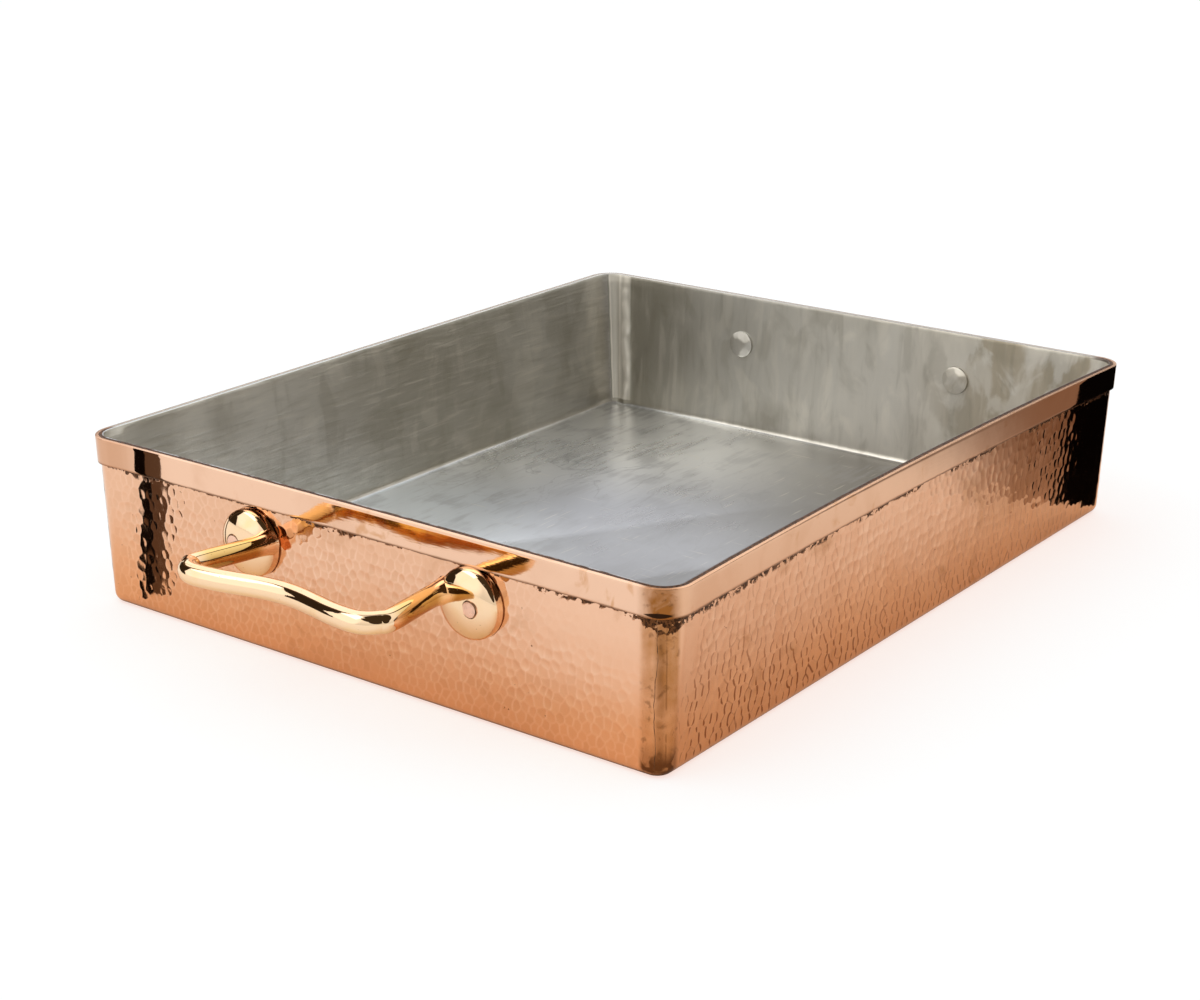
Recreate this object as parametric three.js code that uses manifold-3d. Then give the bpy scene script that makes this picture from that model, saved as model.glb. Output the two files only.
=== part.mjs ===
// Copper roasting pan: a box of hammered sheet copper with brazed corners, a polished copper band round
// the rim, a wiped tin lining, and two cast brass handles, each held by two copper rivets.
// Millimetres, +Z up. The origin is on the underside at the middle of the pan, X runs along the long side,
// and the front end wall, with the handle nearest the viewer, is at -X.
import * as THREE from 'three';
import { mergeVertices } from 'three/addons/utils/BufferGeometryUtils.js';
import Module from 'manifold-3d';

const wasm = await Module();
wasm.setup();

// Clearance between pieces that touch on the real pan
const fitGap = 0.3;

// Pan body, outside sizes over the rim band
const panLength = 406;
const panWidth = 335;
const panHeight = 82;
const sheetThickness = 2;
const endWallLean = 1.1;
const sideWallLean = 4.5;
const rimCornerRadius = 12;
const baseCornerRadius = 8;
const bottomEdgeRadius = 4.5;
// The long wall at -Y bows inwards by this much at the middle of its rim
const nearWallBow = 5;

// Copper band round the outside of the rim
const bandThickness = 1.3;
const bandHeight = 12.3;
const bandEdgeChamfer = 0.35;

// Tin wiped over the whole inside
const tinThickness = 0.4;

// Brazing filler in each upright corner: a web through the sheet and a flat bead on its inner side
const seamWebWidth = 0.8;
const seamBeadThickness = 0.9;
const seamBeadHalfAngle = THREE.MathUtils.degToRad(20);

// Copper rivets, each set a little outwards of its foot's centre
const rivetOutset = 4.5;
const rivetShankRadius = 4;
const rivetHeadRadius = 7.4;
const rivetHeadHeight = 2.4;
const rivetHeadRim = 0.7;
const rivetEndCrown = 0.3;

// Brass handles: domed round feet, and a round bar that leaves each foot at its inner side. Both handles
// were set by eye: a little towards -Y, with their -Y ends a little higher.
const handleOffset = -4;
const handleRoll = THREE.MathUtils.degToRad(0.9);
const footSpacing = 127;
const footRadius = 15.8;
const footRimThickness = 3;
const footHeight = 8.8;
const barRadius = 4.75;
const legInset = 12.5;
const legRise = 3.2;
const legRootRadius = 6.8;
const legRootHeight = 15;
const shoulderFlare = 4;
const shoulderRise = 5.2;
const shoulderStandoff = 52;
const shoulderBendRadius = 11;
const gripStandoff = 45.4;

// Points closer than this are one point
const weldDistance = 1e-5;

// Facets of the curved surfaces
const cornerSteps = 6;
const sideSteps = 6;
const filletSteps = 4;
const barSides = 16;
const barSteps = 56;
const footSegments = 28;
const rivetSegments = 18;

// Sizes that follow from the ones above
const bandReach = fitGap + bandThickness;
const rimHalfLength = panLength / 2 - bandReach;
const rimHalfWidth = panWidth / 2 - bandReach;
const bandFootZ = panHeight - bandHeight;
const liningOffset = sheetThickness + fitGap;
const liningInnerOffset = liningOffset + tinThickness;
const wallTilt = Math.atan2(endWallLean, panHeight);
// Half of the feet's spacing, and how far the roll lifts the higher foot
const footY = footSpacing / 2;
const rollLift = footY * Math.sin(handleRoll);
const handleZ = bandFootZ - fitGap - footRadius - rollLift;
const rivetY = footY + rivetOutset;
const legY = footY - legInset;
const shoulderY = legY + shoulderFlare;
const boreRadius = rivetShankRadius + fitGap;
// Widening an inside corner by this radius draws its middle in by the bead's thickness and a gap
const liningCornerWiden = (seamBeadThickness + fitGap) / (Math.SQRT2 - 1);

const copper = new THREE.MeshStandardMaterial({ color: 0xc98660, roughness: 0.3, metalness: 1 });
const polishedCopper = new THREE.MeshStandardMaterial({ color: 0xd9987a, roughness: 0.15, metalness: 1 });
const tin = new THREE.MeshStandardMaterial({ color: 0x9a9a94, roughness: 0.38, metalness: 1 });
const filler = new THREE.MeshStandardMaterial({ color: 0x7a5238, roughness: 0.5, metalness: 1 });
const brass = new THREE.MeshStandardMaterial({ color: 0xdfb766, roughness: 0.12, metalness: 1 });
const rivetCopper = new THREE.MeshStandardMaterial({ color: 0xd39a80, roughness: 0.3, metalness: 1 });

// A closed geometry as a solid that can be joined and cut
function toSolid(geometry) {
  const bare = geometry.index ? geometry.toNonIndexed() : geometry.clone();
  bare.deleteAttribute('normal');
  bare.deleteAttribute('uv');
  const welded = mergeVertices(bare, weldDistance);
  return new wasm.Manifold(new wasm.Mesh({
    numProp: 3,
    vertProperties: new Float32Array(welded.attributes.position.array),
    triVerts: new Uint32Array(welded.index.array),
  }));
}

// A joined or cut solid as a geometry
function toGeometry(solid) {
  const mesh = solid.getMesh();
  const geometry = new THREE.BufferGeometry();
  geometry.setAttribute('position', new THREE.BufferAttribute(new Float32Array(mesh.vertProperties), 3));
  geometry.setIndex(new THREE.BufferAttribute(new Uint32Array(mesh.triVerts), 1));
  geometry.computeVertexNormals();
  return geometry;
}

// Skins a stack of rings that all run anticlockwise seen from above. A looped stack closes on itself like
// a hoop; any other is closed by a flat face over its first ring and one over its last. Each four-sided
// face is split from its lower left to its upper right, on rising and falling stretches alike, so that
// the two faces of a gently twisted wall, and the walls beside it, stay parallel.
function loft(rings, looped = false) {
  const count = rings[0].length;
  const vertices = rings.flat();
  const indices = [];
  const pairs = looped ? rings.length : rings.length - 1;
  for (let r = 0; r < pairs; r++) {
    const low = r * count;
    const high = ((r + 1) % rings.length) * count;
    const falling = vertices[high].z < vertices[low].z;
    for (let i = 0; i < count; i++) {
      const next = (i + 1) % count;
      if (falling) {
        indices.push(low + i, low + next, high + i);
        indices.push(low + next, high + next, high + i);
      } else {
        indices.push(low + i, low + next, high + next);
        indices.push(low + i, high + next, high + i);
      }
    }
  }
  if (!looped) {
    const lastRing = (rings.length - 1) * count;
    const outline = (ring) => ring.map((point) => new THREE.Vector2(point.x, point.y));
    for (const [a, b, c] of THREE.ShapeUtils.triangulateShape(outline(rings[0]), [])) {
      indices.push(a, c, b);
    }
    for (const [a, b, c] of THREE.ShapeUtils.triangulateShape(outline(rings.at(-1)), [])) {
      indices.push(lastRing + a, lastRing + b, lastRing + c);
    }
  }
  const geometry = new THREE.BufferGeometry().setFromPoints(vertices);
  geometry.setIndex(indices);
  geometry.computeVertexNormals();
  return geometry;
}

// Half sizes and corner radius of the pan's outline at a height, drawn in from the sheet's outer face
function outlineAt(z, inset, widen = 0) {
  const drop = 1 - z / panHeight;
  const sheetRadius = THREE.MathUtils.lerp(rimCornerRadius, baseCornerRadius, drop);
  return {
    halfX: rimHalfLength - endWallLean * drop - inset,
    halfY: rimHalfWidth - sideWallLean * drop - inset,
    radius: Math.max(sheetRadius - inset + widen, fitGap),
  };
}

// The pan's outline at a height as a ring of points, with the long wall at -Y bowed inwards
function panRing(z, inset, widen = 0) {
  const { halfX, halfY, radius } = outlineAt(z, inset, widen);
  const centreX = halfX - radius;
  const centreY = halfY - radius;
  const corners = [[1, 1], [-1, 1], [-1, -1], [1, -1]];
  const arcs = corners.map(([sx, sy], quarter) => {
    const start = quarter * Math.PI / 2;
    const arc = new THREE.EllipseCurve(
      sx * centreX, sy * centreY, radius, radius, start, start + Math.PI / 2);
    return arc.getPoints(cornerSteps);
  });
  const points = [];
  arcs.forEach((arc, quarter) => {
    const nextStart = arcs[(quarter + 1) % arcs.length][0];
    const wall = new THREE.LineCurve(arc.at(-1), nextStart);
    points.push(...arc, ...wall.getPoints(sideSteps).slice(1, -1));
  });
  return points.map((point) => {
    const along = Math.min(Math.abs(point.x) / centreX, 1);
    const bow = point.y < 0 ? nearWallBow * (z / panHeight) * (1 - along * along) : 0;
    return new THREE.Vector3(point.x, point.y + bow, z);
  });
}

// Rings from the flat bottom round its edge and up to the rim, a constant offset in from the outer face
function basinRings(offset, widen = 0) {
  const radius = Math.max(bottomEdgeRadius - offset, fitGap);
  const rings = [];
  for (let i = 0; i <= filletSteps; i++) {
    const angle = (i / filletSteps) * Math.PI / 2;
    const z = offset + radius * (1 - Math.cos(angle));
    rings.push(panRing(z, offset + radius * (1 - Math.sin(angle)), widen));
  }
  rings.push(panRing(bandFootZ, offset, widen));
  rings.push(panRing(panHeight, offset, widen));
  return rings;
}

// An open pan whose wall lies between two offsets from the sheet's outer face
function basin(outerOffset, innerOffset, widen = 0) {
  return loft([...basinRings(outerOffset, widen), ...basinRings(innerOffset, widen).reverse()]);
}

// The middle of a handle's place on its end wall, with X pointing squarely out of the wall and Y along the
// handle. Front is -1, rear 1.
function handleFrame(end) {
  const turn = end > 0 ? 0 : Math.PI;
  const facing = new THREE.Euler(-end * handleRoll, wallTilt, turn, 'ZYX');
  const place = new THREE.Vector3(end * outlineAt(handleZ, 0).halfX, handleOffset, handleZ);
  return new THREE.Matrix4().compose(
    place, new THREE.Quaternion().setFromEuler(facing), new THREE.Vector3(1, 1, 1));
}

// A turned piece whose profile is a list of [radius, distance along X]
function turned(profile, segments) {
  const points = profile.map(([radius, x]) => new THREE.Vector2(radius, x));
  return new THREE.LatheGeometry(points, segments).rotateZ(-Math.PI / 2);
}

// The four rivets: left is the +Y side of the pan, right the -Y side
const rivetPlaces = [
  { name: 'front_left', end: -1, side: 1 },
  { name: 'front_right', end: -1, side: -1 },
  { name: 'rear_left', end: 1, side: 1 },
  { name: 'rear_right', end: 1, side: -1 },
];

// A rivet's place on its end wall, with X along the rivet and out of the wall
function rivetFrame({ end, side }) {
  return handleFrame(end).multiply(new THREE.Matrix4().makeTranslation(0, end * side * rivetY, 0));
}

// A round cutter along the rivet's axis, long enough to pass the wall and a handle's foot
function rivetCutter() {
  const reach = footHeight + sheetThickness + bandReach;
  return new THREE.CylinderGeometry(boreRadius, boreRadius, 2 * reach, rivetSegments).rotateZ(Math.PI / 2);
}

// Cuts the four rivet holes through a pan-shaped solid
function drillRivetHoles(solid) {
  return rivetPlaces.reduce(
    (drilled, place) => drilled.subtract(toSolid(rivetCutter().applyMatrix4(rivetFrame(place)))),
    solid);
}

const seamPlaces = [
  { name: 'front_left', sx: -1, sy: 1 },
  { name: 'front_right', sx: -1, sy: -1 },
  { name: 'rear_left', sx: 1, sy: 1 },
  { name: 'rear_right', sx: 1, sy: -1 },
];
// The corners' seams start just above the rounded bottom edge
const seamFootZ = bottomEdgeRadius + fitGap;

// The centre of an upright corner's arc at a height, and the way out of the corner from it
function cornerAt(sx, sy, z) {
  const { halfX, halfY, radius } = outlineAt(z, 0);
  return {
    centre: new THREE.Vector3(sx * (halfX - radius), sy * (halfY - radius), z),
    outAngle: Math.atan2(sy, sx),
    radius,
  };
}

// An upright slab that follows a corner's middle, from inside the corner to past its outer face
function cornerSlab(sx, sy, width, lowZ, highZ) {
  const rings = [lowZ, highZ].map((z) => {
    const { centre, outAngle, radius } = cornerAt(sx, sy, z);
    const out = new THREE.Vector3(Math.cos(outAngle), Math.sin(outAngle), 0);
    const side = new THREE.Vector3(-out.y, out.x, 0);
    const reach = radius + bandReach;
    return [[0, -1], [reach, -1], [reach, 1], [0, 1]].map(([far, hand]) =>
      centre.clone().addScaledVector(out, far).addScaledVector(side, hand * width / 2));
  });
  return toSolid(loft(rings));
}

// The bead on a corner's inner side: thickest along the middle, following the sheet's inner face
function seamBead(sx, sy) {
  const strips = 4;
  const rings = [seamFootZ, panHeight].map((z) => {
    const { centre, outAngle, radius } = cornerAt(sx, sy, z);
    const outer = radius - liningOffset;
    const at = (step, reach) => {
      const angle = outAngle + seamBeadHalfAngle * (2 * step / strips - 1);
      return new THREE.Vector3(reach * Math.cos(angle), reach * Math.sin(angle), 0).add(centre);
    };
    const points = [];
    for (let i = 0; i <= strips; i++) {
      points.push(at(i, outer));
    }
    for (let i = strips; i >= 0; i--) {
      const share = Math.cos((2 * i / strips - 1) * Math.PI / 3);
      points.push(at(i, outer - seamBeadThickness * share));
    }
    return points;
  });
  return toSolid(loft(rings));
}

// The copper sheet: bottom and four walls, slit up each corner and drilled for the rivets
function makeShell() {
  const slitWidth = seamWebWidth + 2 * fitGap;
  const sheet = drillRivetHoles(toSolid(basin(0, sheetThickness)));
  return seamPlaces.reduce((slit, { sx, sy }) => slit.subtract(
    cornerSlab(sx, sy, slitWidth, bottomEdgeRadius, panHeight + fitGap)), sheet);
}

// The band: a closed hoop with its outer edges eased
function makeBand() {
  const section = [
    [bandFootZ, bandReach - bandEdgeChamfer],
    [bandFootZ + bandEdgeChamfer, bandReach],
    [panHeight - bandEdgeChamfer, bandReach],
    [panHeight, bandReach - bandEdgeChamfer],
    [panHeight, fitGap],
    [bandFootZ, fitGap],
  ];
  return loft(section.map(([z, reach]) => panRing(z, -reach)), true);
}

// The tin skin, with its corners widened over the beads and drilled for the rivets
function makeLining() {
  return drillRivetHoles(toSolid(basin(liningOffset, liningInnerOffset, liningCornerWiden)));
}

// Brazing filler of one corner: the web in the slit, joined to the bead
function makeSeam({ sx, sy }) {
  const webDepth = liningOffset + seamBeadThickness / 2;
  const web = toSolid(basin(0, webDepth)).intersect(
    cornerSlab(sx, sy, seamWebWidth, seamFootZ, panHeight));
  return web.add(seamBead(sx, sy));
}

// Height of the foot's domed face over its back, at a distance from its centre
function footFaceAt(distance) {
  return footRimThickness + (footHeight - footRimThickness) * Math.sqrt(1 - (distance / footRadius) ** 2);
}

// Rivet along X, zero at the wall's outer face: set head inside the pan, peened end flush in the foot
function makeRivet() {
  const headSeat = -(liningInnerOffset + fitGap);
  const headRimX = headSeat - rivetHeadRim;
  const endX = fitGap + footFaceAt(rivetOutset);
  const profile = [[0, headSeat - rivetHeadHeight]];
  const domeSteps = 4;
  for (let i = 1; i <= domeSteps; i++) {
    const angle = (i / domeSteps) * Math.PI / 2;
    const dome = (rivetHeadHeight - rivetHeadRim) * Math.cos(angle);
    profile.push([rivetHeadRadius * Math.sin(angle), headRimX - dome]);
  }
  profile.push([rivetHeadRadius, headSeat]);
  profile.push([rivetShankRadius, headSeat]);
  const crownSteps = 2;
  for (let i = 0; i <= crownSteps; i++) {
    const angle = (i / crownSteps) * Math.PI / 2;
    profile.push([rivetShankRadius * Math.cos(angle), endX + rivetEndCrown * Math.sin(angle)]);
  }
  return turned(profile, rivetSegments);
}

// Centreline of the handle's bar: out along one leg, round the shoulder, in a shallow sag to the middle,
// and back the same way. X is the distance from the feet's backs, and the bar climbs evenly along it.
function barPath() {
  const bendX = shoulderStandoff - shoulderBendRadius;
  const bendY = shoulderY - shoulderBendRadius;
  const half = [[legRootHeight / 4, legY], [legRootHeight, legY]];
  const bendSteps = 3;
  for (let i = 0; i <= bendSteps; i++) {
    const angle = (1 - i / bendSteps) * Math.PI / 2;
    half.push([
      bendX + shoulderBendRadius * Math.cos(angle),
      bendY + shoulderBendRadius * Math.sin(angle),
    ]);
  }
  const sagSteps = 4;
  for (let i = 1; i < sagSteps; i++) {
    const share = 1 - i / sagSteps;
    const rise = (1 - Math.cos(share * Math.PI)) / 2;
    half.push([THREE.MathUtils.lerp(gripStandoff, shoulderStandoff, rise), share * bendY]);
  }
  const otherHalf = half.map(([x, y]) => [x, -y]).reverse();
  const points = [...half, [gripStandoff, 0], ...otherHalf];
  const climb = (shoulderRise - legRise) / shoulderStandoff;
  return new THREE.CatmullRomCurve3(
    points.map(([x, y]) => new THREE.Vector3(x, y, legRise + climb * x)));
}

// A handle's foot: flat back, short upright rim, low dome
function makeFoot() {
  const profile = [[0, 0], [footRadius, 0], [footRadius, footRimThickness]];
  const domeSteps = 7;
  for (let i = 1; i <= domeSteps; i++) {
    const radius = footRadius * Math.cos((i / domeSteps) * Math.PI / 2);
    profile.push([radius, footFaceAt(radius)]);
  }
  return turned(profile, footSegments);
}

// The flared root of a leg, which carries the bar down to the back of the foot
function makeLegRoot() {
  const profile = [[0, 0], [legRootRadius, 0]];
  const flareSteps = 4;
  for (let i = 1; i <= flareSteps; i++) {
    const share = i / flareSteps;
    const flare = (legRootRadius - barRadius) * (1 - share) * (1 - share);
    profile.push([barRadius + flare, legRootHeight * share]);
  }
  profile.push([0, legRootHeight]);
  return turned(profile, barSides);
}

// One cast handle: bar, two leg roots and two feet in one piece, drilled for its rivets
function makeHandle() {
  const section = new THREE.Shape().absarc(0, 0, barRadius, 0, 2 * Math.PI);
  const bar = new THREE.ExtrudeGeometry(section, {
    steps: barSteps,
    curveSegments: barSides / 2,
    extrudePath: barPath(),
  });
  let handle = toSolid(bar);
  for (const hand of [1, -1]) {
    handle = handle.add(toSolid(makeLegRoot().translate(0, hand * legY, legRise)));
    handle = handle.add(toSolid(makeFoot().translate(0, hand * footY, 0)));
    handle = handle.subtract(toSolid(rivetCutter().translate(0, hand * rivetY, 0)));
  }
  return handle;
}

const roastingPan = new THREE.Group();

function addPiece(name, geometry, material, place = new THREE.Matrix4()) {
  const mesh = new THREE.Mesh(geometry, material);
  mesh.name = name;
  mesh.applyMatrix4(place);
  roastingPan.add(mesh);
}

addPiece('pan_shell', toGeometry(makeShell()), copper);
addPiece('rim_band', makeBand(), polishedCopper);
addPiece('tin_lining', toGeometry(makeLining()), tin);
for (const place of seamPlaces) {
  addPiece(`corner_seam_${place.name}`, toGeometry(makeSeam(place)), filler);
}
for (const [name, end] of [['front_handle', -1], ['rear_handle', 1]]) {
  const seat = new THREE.Matrix4().makeTranslation(fitGap, 0, 0);
  addPiece(name, toGeometry(makeHandle()), brass, handleFrame(end).multiply(seat));
}
for (const place of rivetPlaces) {
  addPiece(`rivet_${place.name}`, makeRivet(), rivetCopper, rivetFrame(place));
}

export default roastingPan;
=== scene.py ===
"""Copper roasting pan: hammered sheet, polished rim band, tin lining and two riveted brass handles.

Sizes in the classes are millimetres in the frame of the solids: +Z up, the front end wall at -X, the
bowed long wall at -Y. Every mesh is brought to metres when it is finished.
"""

import logging
import math
import random
from dataclasses import dataclass, field
from enum import Enum
from typing import Iterable, Sequence

import bmesh
import bpy
from mathutils import Matrix, Vector, noise
from mathutils.kdtree import KDTree


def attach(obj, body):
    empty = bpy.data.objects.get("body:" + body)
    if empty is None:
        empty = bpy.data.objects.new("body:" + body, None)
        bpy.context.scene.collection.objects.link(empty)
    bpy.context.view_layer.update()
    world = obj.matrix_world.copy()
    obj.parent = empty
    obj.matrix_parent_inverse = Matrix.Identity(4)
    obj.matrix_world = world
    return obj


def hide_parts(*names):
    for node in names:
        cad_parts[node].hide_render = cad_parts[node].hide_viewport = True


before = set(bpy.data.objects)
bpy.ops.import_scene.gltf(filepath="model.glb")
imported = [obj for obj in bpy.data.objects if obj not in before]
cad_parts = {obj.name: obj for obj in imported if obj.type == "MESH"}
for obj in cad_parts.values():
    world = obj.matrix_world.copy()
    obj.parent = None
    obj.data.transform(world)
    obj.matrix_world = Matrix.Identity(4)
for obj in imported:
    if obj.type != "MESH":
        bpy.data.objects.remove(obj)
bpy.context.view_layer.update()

LOG = logging.getLogger("roasting_pan")
MM = 0.001
Colour = tuple[float, float, float]
Surface = tuple[object, object, object, object]


class Slot(Enum):
    """Material slots of the record."""

    SHEET = "hammered_copper"
    BAND = "polished_copper"
    TIN = "wiped_tin"
    FILLER = "braze_filler"
    BRASS = "cast_brass"
    RIVET = "rivet_copper"


# Shader sums


class Value:
    """A number socket that takes Python arithmetic."""

    def __init__(self, recipe: "Recipe", socket: bpy.types.NodeSocket) -> None:
        """Holds the recipe that owns the socket, and the socket."""
        self.recipe = recipe
        self.socket = socket

    def _sum(self, operation: str, *terms: object) -> "Value":
        """One Math node.

        Args:
            operation: the node's operation.
            terms: values, sockets or plain numbers in order.

        Returns:
            The node's result.
        """
        node = self.recipe.node("ShaderNodeMath", {"operation": operation}, *terms)
        return Value(self.recipe, node.outputs[0])

    def __add__(self, other: object) -> "Value":
        """Sum."""
        return self._sum("ADD", self, other)

    __radd__ = __add__

    def __sub__(self, other: object) -> "Value":
        """Difference."""
        return self._sum("SUBTRACT", self, other)

    def __rsub__(self, other: object) -> "Value":
        """Difference with this value taken away."""
        return self._sum("SUBTRACT", other, self)

    def __mul__(self, other: object) -> "Value":
        """Product."""
        return self._sum("MULTIPLY", self, other)

    __rmul__ = __mul__

    def __truediv__(self, other: object) -> "Value":
        """Quotient."""
        return self._sum("DIVIDE", self, other)

    def size(self) -> "Value":
        """The value without its sign."""
        return self._sum("ABSOLUTE", self)

    def larger(self, other: object) -> "Value":
        """The larger of two values."""
        return self._sum("MAXIMUM", self, other)

    def step(self, low: float, high: float) -> "Value":
        """A soft step.

        Args:
            low: the value at which the step is 0.
            high: the value at which the step is 1; lower than low for a falling step.

        Returns:
            A value from 0 to 1.
        """
        first, last = (0.0, 1.0) if low < high else (1.0, 0.0)
        node = self.recipe.node(
            "ShaderNodeMapRange", {"interpolation_type": "SMOOTHSTEP"},
            self, min(low, high), max(low, high), first, last)
        return Value(self.recipe, node.outputs[0])


class Recipe:
    """A material's or a world's node tree."""

    def __init__(self, tree: bpy.types.NodeTree) -> None:
        """Empties the tree and starts on it."""
        self.tree = tree
        tree.nodes.clear()

    def _plug(self, socket: bpy.types.NodeSocket, value: object) -> None:
        """Gives a socket its value or link.

        Args:
            socket: the socket.
            value: a value, link, number or colour; None leaves the socket alone.
        """
        source = value.socket if isinstance(value, Value) else value
        if isinstance(source, bpy.types.NodeSocket):
            self.tree.links.new(source, socket)
        elif source is not None:
            socket.default_value = (*source, 1.0) if socket.type == "RGBA" else source

    def node(self, kind: str, settings: dict, *inputs: object, **named: object) -> bpy.types.Node:
        """Adds any node.

        Args:
            kind: the node's type.
            settings: properties set before its sockets.
            inputs: values or links of its sockets in order; None leaves a socket alone.
            named: values or links of its sockets by name, with _ for a space.

        Returns:
            The node.
        """
        made = self.tree.nodes.new(kind)
        for name, setting in settings.items():
            setattr(made, name, setting)
        for socket, value in zip(made.inputs, inputs):
            self._plug(socket, value)
        for name, value in named.items():
            self._plug(made.inputs[name.replace("_", " ")], value)
        return made

    def value(self, node: bpy.types.Node, output: object = 0) -> Value:
        """A node's output as a value."""
        return Value(self, node.outputs[output])

    def axes(self) -> tuple[Value, Value, Value]:
        """The place on the pan along X, Y and Z, in metres."""
        return self.split(self.node("ShaderNodeTexCoord", {}).outputs["Object"])

    def facing(self) -> tuple[Value, Value, Value]:
        """The parts of the surface's normal along X, Y and Z."""
        return self.split(self.node("ShaderNodeNewGeometry", {}).outputs["Normal"])

    def split(self, vector: bpy.types.NodeSocket) -> tuple[Value, Value, Value]:
        """A vector's three parts."""
        made = self.node("ShaderNodeSeparateXYZ", {}, vector)
        return self.value(made, 0), self.value(made, 1), self.value(made, 2)

    def noise(
        self,
        scale: float,
        detail: float = 3.0,
        twist: float = 0.0,
        stretch: Colour | None = None,
        turn: Colour = (0.0, 0.0, 0.0),
    ) -> Value:
        """Fractal noise.

        Args:
            scale: lumps to a metre.
            detail: octaves.
            twist: how far the noise bends itself.
            stretch: how many metres a metre becomes along each axis.
            turn: turn about each axis, in radians.

        Returns:
            A value about 0.5.
        """
        place = self.node("ShaderNodeTexCoord", {}).outputs["Object"]
        if stretch:
            place = self.node("ShaderNodeMapping", {}, place, None, turn, stretch).outputs[0]
        made = self.node(
            "ShaderNodeTexNoise", {}, Vector=place, Scale=scale, Detail=detail, Distortion=twist)
        return self.value(made)

    def mix(self, share: object, first: object, second: object) -> bpy.types.NodeSocket:
        """Two colours mixed.

        Args:
            share: 0 for the first, 1 for the second.
            first: a colour.
            second: a colour.

        Returns:
            The mixed colour.
        """
        made = self.node("ShaderNodeMix", {"data_type": "RGBA", "clamp_factor": True})
        sockets = {socket.identifier: socket for socket in made.inputs}
        for name, value in (("Factor_Float", share), ("A_Color", first), ("B_Color", second)):
            self._plug(sockets[name], value)
        return next(socket for socket in made.outputs if socket.identifier == "Result_Color")

    def layers(self, ground: object, *coats: tuple[object, object]) -> object:
        """Colours laid over one another.

        Args:
            ground: the lowest colour.
            coats: each coat's share and colour, from the lowest up.

        Returns:
            The colour that they give.
        """
        for share, colour in coats:
            ground = self.mix(share, ground, colour)
        return ground

    def attribute(self, name: str) -> Value:
        """A number kept on the piece's own points."""
        return self.value(self.node("ShaderNodeAttribute", {"attribute_name": name}), "Fac")

    def bump(self, height: Value, distance: float, below: object = None) -> bpy.types.NodeSocket:
        """A bumped normal.

        Args:
            height: the height, about 0 to 1.
            distance: how high 1 stands, in metres.
            below: the normal it is laid over.

        Returns:
            The normal.
        """
        made = self.node("ShaderNodeBump", {}, Strength=1.0, Distance=distance, Height=height, Normal=below)
        return made.outputs[0]


def new_material(name: str) -> tuple[bpy.types.Material, Recipe]:
    """Starts a material.

    Args:
        name: its name.

    Returns:
        The material, and the recipe of its empty node tree.
    """
    material = bpy.data.materials.new(name)
    material.use_nodes = True
    return material, Recipe(material.node_tree)


@dataclass(frozen=True)
class Finish:
    """A metal finish. Subclasses say how it varies over the surface."""

    name: str
    base: Colour
    roughness: float

    def build(self) -> bpy.types.Material:
        """Makes the material.

        Returns:
            The material, its colour, roughness and normal driven by the recipe.
        """
        material, recipe = new_material(self.name)
        material.diffuse_color = (*self.base, 1.0)
        colour, roughness, metallic, normal = self.vary(recipe)
        shader = recipe.node(
            "ShaderNodeBsdfPrincipled", {}, Base_Color=colour, Roughness=roughness, Metallic=metallic,
            Normal=normal)
        recipe.node("ShaderNodeOutputMaterial", {}, shader.outputs[0])
        return material

    def vary(self, recipe: Recipe) -> Surface:
        """Base colour, roughness, metallic and normal of the surface."""
        return self.base, self.roughness, 1.0, None


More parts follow.
